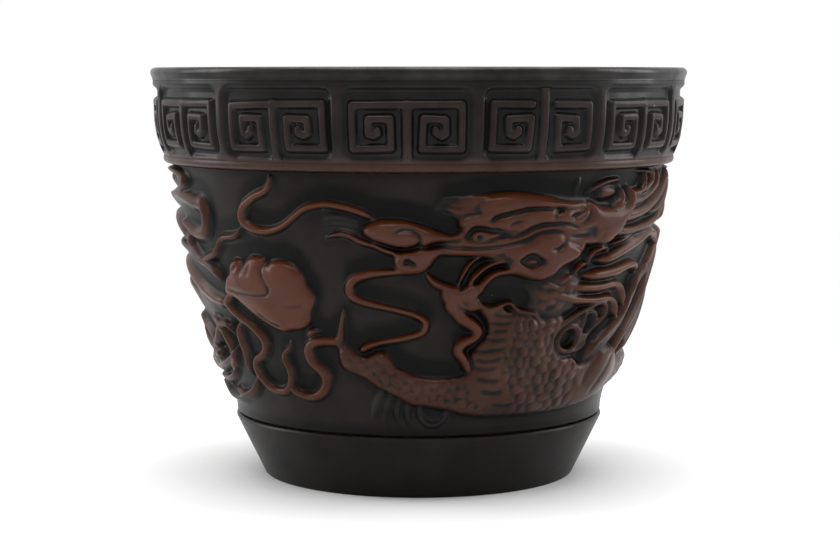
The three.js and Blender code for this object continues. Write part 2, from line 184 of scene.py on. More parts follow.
def smooth_line(points, closed=False, step=0.35):
    """A Catmull-Rom curve through points given in degrees and millimetres, as radians and millimetres."""
    p = np.array(points, float)
    p[:, 0] = np.radians(p[:, 0])
    if closed:
        p = np.vstack([p[-1], p, p[0], p[1]])
    else:
        p = np.vstack([2 * p[0] - p[1], p, 2 * p[-1] - p[-2]])
    curve = []
    for a, b, c, d in zip(p, p[1:], p[2:], p[3:]):
        length = math.hypot((c[0] - b[0]) * RIM_R, c[1] - b[1])
        t = np.arange(0, 1, 1 / max(2, round(length / step)))[:, None]
        flat = 2 * b + (c - a) * t
        curve.append(0.5 * (flat + (2 * a - 5 * b + 4 * c - d) * t**2 + (3 * b - a - 3 * c + d) * t**3))
    return np.vstack([*curve, p[-2:-1]])


def line_length(line):
    """A smooth line's length in millimetres, measured at the rim's radius."""
    return np.hypot(np.diff(line[:, 0]) * RIM_R, np.diff(line[:, 1])).sum()


def full_between_tips(line, along, tips):
    """1 along a line, falling to 0 at each end within that many millimetres."""
    return np.clip(np.minimum(along, 1 - along) * line_length(line) / tips, 0, 1)


# Away from a form its height falls below the ground like this, so that forms melt together at their feet
FALL = 1.6
REACH = 1.6
OUTSIDE = -FALL * REACH

# At its tips a strand keeps these shares of its width and height
TIP_WIDTH, TIP_HEIGHT = 0.35, 0.45

# How far a plate's dome goes on rising past its rounded edge
DOME_REACH = 1.5

# A furrow runs out this many widths from its middle
FURROW_REACH = 1.5


def smooth_max(a, b, blend):
    """The higher of two heights, with the valley between them filled over a blend's width."""
    overlap = np.maximum(blend - abs(a - b), 0) / blend
    return np.maximum(a, b) + overlap * overlap * blend / 4


def smoothstep(low, high, x):
    t = np.clip((x - low) / (high - low), 0, 1)
    return t * t * (3 - 2 * t)


def ridge(sheet, points, width, height, tips=1.6, fullness=0.7):
    """A rounded strand along a line. Width and height may be one number or several along it."""
    line = smooth_line(points)
    widths, heights = np.atleast_1d(width) / 2, np.atleast_1d(height)
    near, along = sheet.distance(line, widths.max() + REACH)
    half = np.interp(along, np.linspace(0, 1, len(widths)), widths)
    tall = np.interp(along, np.linspace(0, 1, len(heights)), heights)
    tip = full_between_tips(line, along, tips) ** 0.5
    half = half * (TIP_WIDTH + (1 - TIP_WIDTH) * tip)
    tall = tall * (TIP_HEIGHT + (1 - TIP_HEIGHT) * tip)
    across = near / half
    crown = tall * np.maximum(1 - across**2, 0) ** fullness
    return np.where(across < 1, crown, np.maximum(-(near - half) * FALL, OUTSIDE))


def plate(sheet, outline, height, edge=1.0, dome=0.0):
    """A form with a rounded edge inside a closed outline, higher towards its middle by dome."""
    line = smooth_line(outline, closed=True)
    reach = max(edge, REACH) + DOME_REACH
    near, _ = sheet.distance(line, reach)
    rise = np.clip(near / edge, 0, 1)
    crown = height * np.sqrt(1 - (1 - rise) ** 2) + dome * smoothstep(0, reach, near)
    return np.where(sheet.inside(line), crown, np.maximum(-near * FALL, OUTSIDE))


def groove(sheet, points, width, depth, closed=False, tips=1.0):
    """A soft furrow along a line, as a height to take away."""
    line = smooth_line(points, closed)
    reach = width * FURROW_REACH
    near, along = sheet.distance(line, reach)
    fade = 1.0 if closed else full_between_tips(line, along, tips) ** 0.6
    return depth * fade * np.exp(-((near / (width / 2)) ** 2)) * (near < reach)


def hollow(sheet, outline, depth, edge=0.6):
    """A pit with sloping sides and a rounded brim inside a closed outline, as a height to take away."""
    line = smooth_line(outline, closed=True)
    past_edge = 0.6
    near, _ = sheet.distance(line, edge + past_edge)
    signed = np.where(sheet.inside(line), near, -near)
    brim = 0.3 * edge
    return depth * smoothstep(-brim, edge, signed)


def softened(field, passes=1):
    """The field as a mould leaves it, with every edge a little rounded."""
    for _ in range(passes):
        padded = np.pad(field, 1, mode="edge")
        field = (padded[:-2, 1:-1] + 2 * padded[1:-1, 1:-1] + padded[2:, 1:-1]) / 4
        padded = np.pad(field, 1, mode="edge")
        field = (padded[1:-1, :-2] + 2 * padded[1:-1, 1:-1] + padded[1:-1, 2:]) / 4
    return field


# The relief, drawn in degrees round the cup and millimetres above the foot's plane. One group is drawn,
# from its clouds on the left to its tail on the right, and the cup carries it twice, half a turn apart.
GROUP_START, GROUP_END = -98, 134
GRID_DEGREES = 0.25
GRID_MM = 0.145

# How high the whiskers and the locks of the mane stand
STRAND = 0.95
MANE = 1.3

# How far scales reach from their spine, and one scale's start, length and half width in pitches
SCALES_REACH = 8.9
SCALE_START, SCALE_LENGTH, SCALE_HALF = 0.3, 0.98, 0.56


def draw_scales(sheet, spine, pitch, relief):
    """Round scales that overlap like tiles, in staggered rows along a spine line, as a height to add."""
    line = smooth_line(spine)
    near, along = sheet.distance(line, SCALES_REACH + 0.1)
    leg = np.clip((along * (len(line) - 1)).astype(int), 0, len(line) - 2)
    heading = line[1:] - line[:-1]
    from_line = sheet.angle[None, :] - line[leg, 0], sheet.z[:, None] - line[leg, 1]
    side = heading[leg, 0] * from_line[1] - heading[leg, 1] * from_line[0]
    u, v = along * line_length(line) / pitch, np.sign(side) * near / pitch
    # The rows wander a little, and no scale stands quite as high as the next
    u, v = u + 0.2 * np.sin(2.1 * v + 1.3 * np.sin(0.9 * u)), v + 0.14 * np.sin(1.7 * u + 0.8 * v)
    height = np.zeros(sheet.shape)
    for step in (-1, 0, 1):
        row = np.floor(u) - step
        centre = np.where(row % 2 == 0, np.round(v), np.round(v - 0.5) + 0.5)
        back = u - row
        out = np.hypot((back - SCALE_START) / SCALE_LENGTH, (v - centre) / SCALE_HALF)
        lift = 0.8 + 0.2 * np.sin(12.9 * row + 7.8 * centre)
        slope = 0.1 + 0.9 * np.clip(back / 1.1, 0, 1)
        tile = lift * slope * np.sqrt(np.maximum(1 - out**3, 0))
        height = np.where(out < 1, tile, height)
    return relief * height * (near < SCALES_REACH)


def draw_scutes(sheet, rows, width, depth):
    """The broad plates of the dragon's throat, as furrows to take away between them."""
    cut = np.zeros(sheet.shape)
    for points in rows:
        cut = np.maximum(cut, groove(sheet, points, width, depth))
    return cut


def along_side(sheet, start, end):
    """A share that grows from 0 at one angle round the cup to 1 at another."""
    return smoothstep(math.radians(start), math.radians(end), sheet.angle)[None, :]


def dragon_head(sheet):
    skull = [
        (3.0, 38.9), (3.6, 40.0), (6, 40.8), (10, 41.0), (14, 41.2), (20, 41.4), (26, 41.0), (32, 40.5),
        (37, 40.3), (40, 40.0), (44, 39.2), (50, 39.1), (52.4, 40.4), (54, 41.2), (55.4, 40.4),
        (55.6, 38.8), (54, 37.4), (52, 36.0), (49, 34.6), (46, 33.8), (43, 33.8), (40.6, 33.4),
        (38.4, 32.2), (35, 31.4), (32.6, 30.5), (30, 29.9), (26, 29.9), (22, 31.0), (16, 32.5),
        (11, 33.3), (5, 33.4), (2.4, 34.4), (5.4, 35.1), (8.6, 35.6), (9.2, 36.8), (8.2, 37.8),
        (5, 38.4),
    ]
    nose = [
        (-12.2, 36.4), (-11, 37.3), (-8, 37.9), (-4, 37.9), (-1.4, 37.6), (2, 37.0), (5, 36.3),
        (7.4, 36.0), (9.6, 36.6), (10, 35.8), (8, 35.2), (4, 34.9), (1, 34.3), (-3, 34.0), (-7, 34.5),
        (-10.4, 35.3),
    ]
    lip = [
        (-5.6, 33.5), (-3, 34.1), (1, 34.4), (5, 34.3), (5.4, 33.6), (3.8, 32.9), (2.6, 31.9),
        (1.2, 31.2), (-2, 31.1), (-4.8, 31.4), (-5.4, 32.3),
    ]
    brow = [
        (9, 36.7), (8.4, 37.7), (10, 38.3), (12.4, 38.8), (12.4, 39.7), (13.6, 40.5), (16.4, 40.95),
        (21, 40.9), (26, 40.5), (32, 40.0), (37, 39.4), (36, 38.6), (30, 38.8), (24, 38.9), (19, 38.3),
        (16.4, 37.9), (15.2, 37.4), (14.6, 37.2), (12, 37.4), (10, 37.0),
    ]
    forehead = [
        (15.6, 36.9), (15.6, 37.7), (17.4, 38.3), (21, 38.7), (24, 39.1), (28, 39.15), (31, 39.0),
        (35, 38.9), (39.2, 38.8), (39, 37.4), (34, 36.9), (29, 37.0), (25, 36.7), (22, 36.0),
        (18, 36.2),
    ]
    cheek = [
        (18, 33.5), (21, 34.6), (24, 34.9), (26.6, 35.7), (29.4, 36.0), (32.6, 35.9), (33.6, 35.3),
        (35, 34.8), (37.2, 34.3), (38.8, 33.6), (38.8, 32.8), (37.4, 32.1), (35.4, 31.6), (33.6, 31.2),
        (32.4, 30.5), (30.6, 29.95), (27, 29.9), (23.6, 30.4), (20, 31.1), (20, 32.4),
    ]
    mane_root = [
        (34, 36.4), (38, 37.2), (39.4, 38.6), (39.6, 39.9), (41.4, 39.5), (44, 38.9), (49, 38.8),
        (52, 39.4), (53, 41), (54.8, 41.0), (55.4, 39.2), (54.2, 37.7), (53, 36.8), (52, 35.8),
        (50, 34.9), (47.6, 34.0), (45.4, 33.8), (43.4, 34.3), (41.6, 35.1), (40.8, 36.0), (37, 36.0),
    ]
    height = plate(sheet, skull, 1.05, edge=1.1, dome=0.2)
    low_end = along_side(sheet, 17, 3) * smoothstep(37.4, 39, sheet.z)[:, None]
    low_top = along_side(sheet, 24, 36) * smoothstep(39.2, 40, sheet.z)[:, None]
    height = height - (0.8 * low_end + 0.45 * low_top) * smoothstep(0, 0.4, height)
    for outline, tall, edge, dome in (
        (nose, 1.75, 1.3, 0.3), (lip, 1.6, 0.8, 0.2), (brow, 1.6, 1.0, 0.2), (forehead, 1.6, 0.8, 0.25),
        (cheek, 1.7, 1.0, 0.35), (mane_root, 1.65, 1.1, 0.3),
    ):
        height = smooth_max(height, plate(sheet, outline, tall, edge, dome), blend=0.3)
    for line, width, tall in (
        ([(4, 33.8), (8, 33.8), (13, 33.7), (18, 33.9), (23, 34.4)], 1.0, 1.6),
        ([(20, 35.15), (23, 35.6), (26, 36.25), (29, 36.6), (33, 36.55), (37, 36.0), (40, 35.7)],
         [0.6, 0.8, 0.9], 1.5),
        ([(-20.8, 38.0), (-19, 38.2), (-16.4, 38.15), (-13, 37.6)], [0.5, 0.7], 0.5),
        ([(-20.6, 37.2), (-18.6, 37.5), (-16, 37.45), (-13, 37.0)], [0.5, 0.7], 0.5),
        ([(-21, 36.5), (-19, 36.8), (-16.6, 36.75), (-13.4, 36.3)], [0.4, 0.6], 0.45),
        ([(-20.6, 35.4), (-18.8, 35.8), (-17, 35.95), (-15, 35.7), (-12.6, 35.0), (-9.6, 34.6),
         (-7, 34.0), (-4, 33.4)], [0.6, 0.8, 0.9, 1.1], 1.05),
        ([(3.6, 39.0), (4.2, 40.0), (6.4, 40.5), (9.4, 40.4), (11.2, 39.8)], 0.55, 0.6),
        ([(4.6, 39.6), (6.2, 39.2), (8.4, 38.9), (10.6, 39.1), (12.4, 39.9)], [0.4, 0.8, 0.6], 0.95),
        ([(6.6, 38.4), (9, 38.5), (11.6, 38.8)], 0.5, 0.7),
        ([(39.4, 40.8), (41.4, 41.5), (44, 42.05), (47, 42.3), (50, 42.4)], [0.9, 0.7, 0.6], 0.95),
        ([(36.2, 41.0), (36.6, 41.8), (37.0, 42.7)], [0.9, 1.0, 0.7], 0.7),
        ([(52.6, 37.6), (54.2, 38.8), (54.4, 40.1), (53.2, 41.4)], [1.6, 1.6, 1.0], 1.6),
        ([(54.6, 40.6), (58, 40.6), (62, 41.0), (64.6, 42), (63.6, 43.1), (60, 43.5), (56, 43.5)],
         [0.9, 1.2, 1.1, 0.6], 1.1),
    ):
        height = smooth_max(height, ridge(sheet, line, width, tall), blend=0.2)
    ear = [(42.4, 40.4), (43.2, 41.3), (46, 41.6), (48.2, 41.3), (49, 40.6), (46.4, 40), (43.4, 39.9)]
    height = smooth_max(height, plate(sheet, ear, 0.7, edge=0.8, dome=0.3), blend=0.2)
    for line, width, depth in (
        ([(-5.2, 36.1), (-4.2, 36.5), (-2.8, 36.7), (-1.2, 36.5), (0.1, 35.9), (0.4, 35.1),
         (-0.4, 34.6), (-2, 34.2), (-4.4, 34.2), (-7, 34.5), (-9.4, 35.0)], 0.55, 0.65),
        ([(-4.8, 35.1), (-3.7, 34.9), (-2.8, 35.1)], 0.35, 0.35),
        ([(3.2, 34.2), (4.4, 33.6)], 0.35, 0.35),
        ([(2.4, 34.75), (5, 34.6), (8, 34.4), (13, 34.2), (17, 34.4), (21, 34.75), (24, 35.2),
         (26.4, 35.9), (29, 36.15), (33, 36.1)], 0.34, 0.45),
        ([(20, 35.5), (23, 35.95), (25.6, 36.7), (28.6, 37.05), (33, 36.95), (37, 36.5)], 0.36, 0.45),
        ([(15.4, 37.6), (16.4, 38.1), (19, 38.55), (22, 38.9), (25, 39.2), (30, 39.15), (35, 38.95),
         (39, 39.0)], 0.3, 0.45),
        ([(18.8, 36.9), (20.2, 37.4), (22.6, 37.7)], 0.35, 0.45),
        ([(15.8, 37.2), (17, 36.6), (19, 36.5), (22, 36.4)], 0.35, 0.3),
        ([(29.8, 37.5), (30.2, 38.1), (31.4, 38.7), (33, 38.9)], 0.6, 0.6),
        ([(29.4, 33.8), (31.2, 33.75), (32.6, 34.2), (33.8, 34.9)], 0.5, 0.6),
        ([(34.6, 35.4), (37.4, 35.3), (40.6, 35.5)], 0.45, 0.5),
        ([(39.6, 34.3), (41.2, 33.9), (44, 33.5)], 0.6, 0.6),
        ([(38.0, 38.9), (40, 39.9)], 0.5, 0.3),
        ([(10, 38.4), (12, 38.6), (14, 39.0)], 0.3, 0.3),
        ([(12.6, 39.9), (15, 40.0), (19, 40.1)], 0.4, 0.15),
        ([(49, 40.4), (50.4, 40.4)], 1.1, 0.7),
        ([(41, 40.2), (41.8, 40.0)], 0.6, 0.4),
        ([(43.2, 35.2), (44.4, 35.2)], 0.8, 0.35),
    ):
        height = height - groove(sheet, line, width, depth)
    eye_socket = [
        (9.6, 35.5), (10.6, 36.7), (12.2, 37.2), (14.4, 37.1), (16.8, 36.6), (21, 35.7), (17, 35.0),
        (12, 34.8),
    ]
    height = height - hollow(sheet, eye_socket, depth=0.75, edge=0.7)
    eyelet = [(34.0, 37.9), (34.8, 38.4), (38.8, 38.7), (37.6, 37.9), (35.4, 37.4)]
    height = height - hollow(sheet, eyelet, depth=0.8, edge=0.4)
    cheek_eyelet = [
        (22.0, 32.3), (23.2, 33.2), (25.4, 33.6), (27.4, 33.1), (29, 32.3), (27.8, 31.6), (25, 31.3),
    ]
    height = height - hollow(sheet, cheek_eyelet, depth=0.9, edge=0.55)
    cheek_fold = [(24.2, 32.1), (25.0, 32.7), (26.2, 32.7), (27.6, 32.2), (26.2, 31.9)]
    height = smooth_max(height, plate(sheet, cheek_fold, 1.6, edge=0.45), blend=0.1)
    eye = [
        (11.2, 35.8), (12, 36.4), (13.2, 36.5), (15, 36.4), (18.4, 35.9), (16.4, 35.4), (14.2, 35.0),
        (12, 35.1),
    ]
    height = smooth_max(height, plate(sheet, eye, 1.4, edge=0.5, dome=0.1), blend=0.1)
    for angle, z, size, depth in (
        (-5.0, 33.05, 0.6, 0.7), (-2.6, 32.5, 1.0, 0.9), (-1.2, 32.2, 0.6, 0.7), (13.0, 35.65, 0.7, 0.9),
    ):
        height = height - groove(sheet, [(angle, z), (angle + 0.3, z)], size, depth, closed=True)
    return height


def lower_jaw(sheet):
    chin = [
        (5.0, 28.8), (6.8, 29.5), (9, 29.4), (11.4, 29.5), (13.4, 29.8), (14.0, 28.6), (13.9, 27.4),
        (15.0, 26.4), (12, 25.8), (8, 26.4), (5.4, 27.4),
    ]
    height = plate(sheet, chin, 1.35, edge=1.1, dome=0.2)
    for line, width, tall in (
        ([(1.6, 31.2), (2.6, 30.3), (4.2, 29.6), (6.6, 29.1), (9, 28.9)], [0.9, 1.2, 1.2], 1.35),
        ([(13.9, 28.2), (14.5, 29.5), (16.4, 30.6), (19, 31.1), (22, 31.1), (25, 30.6), (28, 30.2),
         (31, 30.3)], [1.3, 1.0, 1.0, 1.1], 1.55),
        ([(9.0, 29.3), (9.8, 30.6), (11, 31.9), (12.6, 32.8), (15, 33.1)], [0.7, 0.55, 0.55], 1.1),
        ([(11.4, 29.3), (12.6, 30.5), (14.6, 31.6), (17, 32.3), (20, 32.4)], [0.9, 0.9, 0.8], 1.35),
    ):
        height = smooth_max(height, ridge(sheet, line, width, tall), blend=0.15)
    for line, width, depth in (
        ([(8.6, 28.6), (9.8, 29.1), (10.6, 30.3), (12.2, 31.6), (14.4, 32.5), (18, 32.9)], 0.5, 0.7),
        ([(12.4, 29.2), (13.4, 30.2), (15.4, 31.2), (18, 31.7), (21.6, 31.75)], 0.4, 0.6),
        ([(9.6, 27.6), (12, 26.4)], 0.5, 0.25),
    ):
        height = height - groove(sheet, line, width, depth)
    mouth = [(3.0, 31.5), (4, 32.7), (7, 33.2), (11.4, 33.1), (9.8, 31.6), (8.4, 30.3), (5.4, 30.1)]
    return height - hollow(sheet, mouth, depth=1.2, edge=0.5)


def beard(sheet):
    points = [
        (6.4, 27.4), (8.2, 26.5), (10.2, 25.2), (12.6, 24.2), (14.2, 23.3), (13.4, 22.5), (11.2, 21.9),
        (9.9, 21.3), (9.8, 20.6), (10.8, 19.9), (12.0, 19.0), (12.9, 17.6),
    ]
    height = ridge(sheet, points, [2.3, 2.1, 1.8, 1.6, 1.7, 1.4, 1.2], 1.4, tips=1.0)
    return height - groove(sheet, [(8.4, 27.2), (10.6, 26.2), (13, 25.2)], width=0.5, depth=0.2)


def upper_whisker(sheet):
    points = [
        (-33.4, 43.2), (-33.6, 42.2), (-34.8, 41.2), (-37.4, 40.6), (-40, 39.8), (-42, 38.9),
        (-42.9, 37.8), (-42.2, 36.8), (-40, 36.2), (-37, 35.9), (-34, 36.1), (-31.2, 36.7),
        (-28.6, 37.7), (-26, 38.8), (-23.6, 39.4), (-20.4, 39.7), (-17, 39.5), (-13.6, 39.0),
        (-11, 38.4), (-9.4, 37.8),
    ]
    widths = [0.8, 1.1, 1.3, 1.6, 1.2, 0.95, 0.9, 1.0, 1.0, 1.05, 0.9]
    return ridge(sheet, points, widths, STRAND)


def lower_whisker(sheet):
    points = [
        (1, 31.4), (-3, 31.25), (-8, 31.05), (-12, 30.7), (-14.6, 30.1), (-16, 29.0), (-15.6, 28.0),
        (-13.6, 27.3), (-10, 26.8), (-5, 26.2), (-1, 25.6), (1.2, 24.9), (1.8, 24.1), (1.0, 23.3),
        (-1, 22.8), (-5, 22.3), (-9, 21.9), (-12.4, 21.3), (-14.6, 20.6),
    ]
    widths = [0.9, 0.9, 1.2, 1.45, 1.1, 0.85, 0.9, 1.05, 1.0, 0.85, 1.1]
    return ridge(sheet, points, widths, STRAND, tips=0.8)


def locks(sheet, *lines):
    """Strands of hair that lie side by side, each given as its line and its widths."""
    height = sheet.empty(OUTSIDE)
    for line, width in lines:
        height = smooth_max(height, ridge(sheet, line, width, MANE, tips=2.4, fullness=0.75), blend=0.12)
    return height


def mane_strand_1(sheet):
    return locks(
        sheet,
        ([(44, 38.6), (49, 37.6), (56, 37.6), (62.5, 38.1), (68.5, 39.2), (73, 40.4), (77, 42),
         (80, 43.2)], [2.6, 2.4, 1.9, 1.6, 1.3]),
        ([(50, 39.1), (56, 39.3), (61, 39.8), (65.5, 40.7), (68.5, 41.8), (69.6, 43.2)],
         [1.6, 1.3, 1.0]),
        ([(53, 40.2), (57, 40.3), (59.5, 41.2), (60.6, 42.4), (60.4, 43.5)], [0.8, 1.0, 0.9]),
        ([(47, 38), (50, 39), (51, 40), (50.6, 41.2)], [2.6, 2.2, 1.4]),
    )


def mane_strand_2(sheet):
    return locks(
        sheet,
        ([(44, 35.9), (49.5, 35.6), (56, 35.5), (64, 35.8), (70.5, 36.4), (75, 37.6), (80, 39.4),
         (90, 42.4)], [2.2, 1.6, 1.5, 1.5, 1.2]),
        ([(66, 37.4), (72, 38.2), (78, 39.8), (84, 42)], [0.9, 1.3, 1.0]),
        ([(76, 36), (84, 37.6), (92, 39.2), (98, 40)], [1.2, 1.5, 1.0]),
    )


def mane_strand_3(sheet):
    return locks(
        sheet,
        ([(42.6, 31.2), (42.6, 32.4), (44, 33.2), (47, 33.5), (49, 33.2)], [0.8, 0.9, 0.9]),
        ([(45, 31.9), (49, 32.0), (53, 32.6), (58, 33.5), (63, 34.2), (67, 34.8), (72, 35)],
         [1.3, 2.1, 2.5, 2.3, 1.7]),
        ([(68, 34.8), (73, 34.5), (77, 33.2), (79, 31.6)], [1.6, 1.4, 0.8]),
        ([(49, 33.7), (54, 34.4), (59, 35.0)], [0.7, 0.8, 0.5]),
    )


def mane_strand_4(sheet):
    return locks(
        sheet,
        ([(38.6, 29.9), (38.8, 30.8), (40.4, 31.5), (42.4, 31.4)], [0.8, 0.9, 0.8]),
        ([(41, 29.9), (47, 29.9), (53, 30.1), (58, 30.6), (62, 30.6), (65.4, 29.6)],
         [1.2, 1.8, 2.0, 1.6, 1.1]),
        ([(88, 34.8), (80, 33.4), (74, 31), (70, 29.8)], [1.8, 1.8, 1.2]),
    )


def mane_strand_5(sheet):
    return locks(
        sheet,
        ([(34.4, 28.7), (34.9, 29.5), (36.8, 30.0), (38.4, 29.6)], [0.8, 0.9, 0.8]),
        ([(37, 28.6), (42.5, 28.3), (48, 28.2), (53, 28.4), (56.4, 27.9), (59.4, 26.4), (62, 24.9)],
         [1.1, 1.5, 1.6, 1.3, 0.9]),
    )


def mane_strand_6(sheet):
    return locks(
        sheet,
        ([(31, 28.0), (35, 27.4), (40, 26.8), (46, 26.5), (52, 26.5), (55.2, 25.8), (57.4, 24.4),
         (59.6, 23.4)], [1.1, 1.4, 1.3, 0.9]),
        ([(29, 29.2), (32, 28.9), (36, 28.2)], [0.6, 0.7, 0.5]),
    )


def mane_sweep(sheet):
    height = locks(
        sheet,
        ([(48.6, 18.0), (51, 19.8), (55, 21.2), (59.4, 22.6), (62.6, 24.2), (64.4, 26), (65, 27.6),
         (67, 28.7), (70, 29.4), (74, 30.2)], [1.8, 2.0, 2.2, 2.0, 1.8]),
        ([(61, 17.0), (63, 18.8), (66, 20.6), (70, 22.6), (74, 25), (78, 28.6), (84, 31.2), (94, 33)],
         [2.6, 3.0, 3.2, 3.0, 2.2]),
        ([(68, 18), (74, 20), (80, 22.2), (86, 25), (94, 28)], [2.4, 2.6, 2.2]),
    )
    for line in (
        [(52, 19.6), (57, 21.2), (61.4, 22.8), (63.8, 24.8), (64.6, 27)],
        [(63, 17.8), (66, 19.8), (70.4, 21.8), (74.6, 24), (77, 26.6)],
    ):
        height = height - groove(sheet, line, width=0.6, depth=0.3)
    fold = [(50, 17.6), (55, 19.8), (60, 21.6), (64.4, 24), (68, 27)]
    return smooth_max(height, ridge(sheet, fold, [2.6, 3.6, 3.4, 2.4], 0.8, fullness=0.9), blend=0.4)


def loop_curl(sheet):
    shell = [
        (38.6, 18.9), (36, 19.6), (34.7, 20.8), (34.8, 22.2), (36.6, 23.4), (39.6, 24.3), (43, 25.1),
        (47, 25.8), (50.4, 26.0), (52.2, 25.2), (51.8, 24.1), (50, 23.2), (49.4, 22.4),
    ]
    height = ridge(sheet, shell, [1.5, 1.6, 1.3, 1.1, 0.9, 1.0, 0.7], 1.2)
    web = [
        (36.0, 20.4), (35.6, 21.8), (37.4, 23.3), (41, 24.2), (45, 25.0), (48.8, 25.2), (50.4, 24.0),
        (48.8, 22.0), (46.8, 20.5), (43, 19.4), (39, 19.1),
    ]
    height = smooth_max(height, plate(sheet, web, 0.85, edge=0.8), blend=0.3)
    tongue = [(38.6, 19.9), (41.6, 19.7), (44.4, 19.9), (46.6, 20.7), (46.6, 21.7)]
    height = smooth_max(height, ridge(sheet, tongue, [1.0, 1.0, 0.7], 1.2), blend=0.15)
    bar = [(43.2, 21.6), (43.8, 22.9), (44.2, 24.4), (45.4, 25.2)]
    height = smooth_max(height, ridge(sheet, bar, [0.6, 0.7, 0.6], 1.3), blend=0.15)
    rim = [
        (40.3, 19.9), (37.8, 20.2), (36.6, 21.3), (37.6, 22.6), (40.0, 23.2), (42.5, 22.8),
        (43.5, 21.5), (42.6, 20.3), (40.3, 19.9),
    ]
    height = smooth_max(height, ridge(sheet, rim, 0.6, 1.35, tips=0.1), blend=0.15)
    hole = [
        (37.4, 21.3), (38.0, 22.2), (39.9, 22.7), (41.9, 22.4), (42.7, 21.4), (41.9, 20.5),
        (39.6, 20.3),
    ]
    height = height - hollow(sheet, hole, depth=1.8, edge=0.3)
    second_hole = [(44.7, 22.5), (45, 24.2), (47, 24.6), (49, 24.0), (48.5, 22.7), (46.6, 22.0)]
    return height - hollow(sheet, second_hole, depth=1.7, edge=0.5)


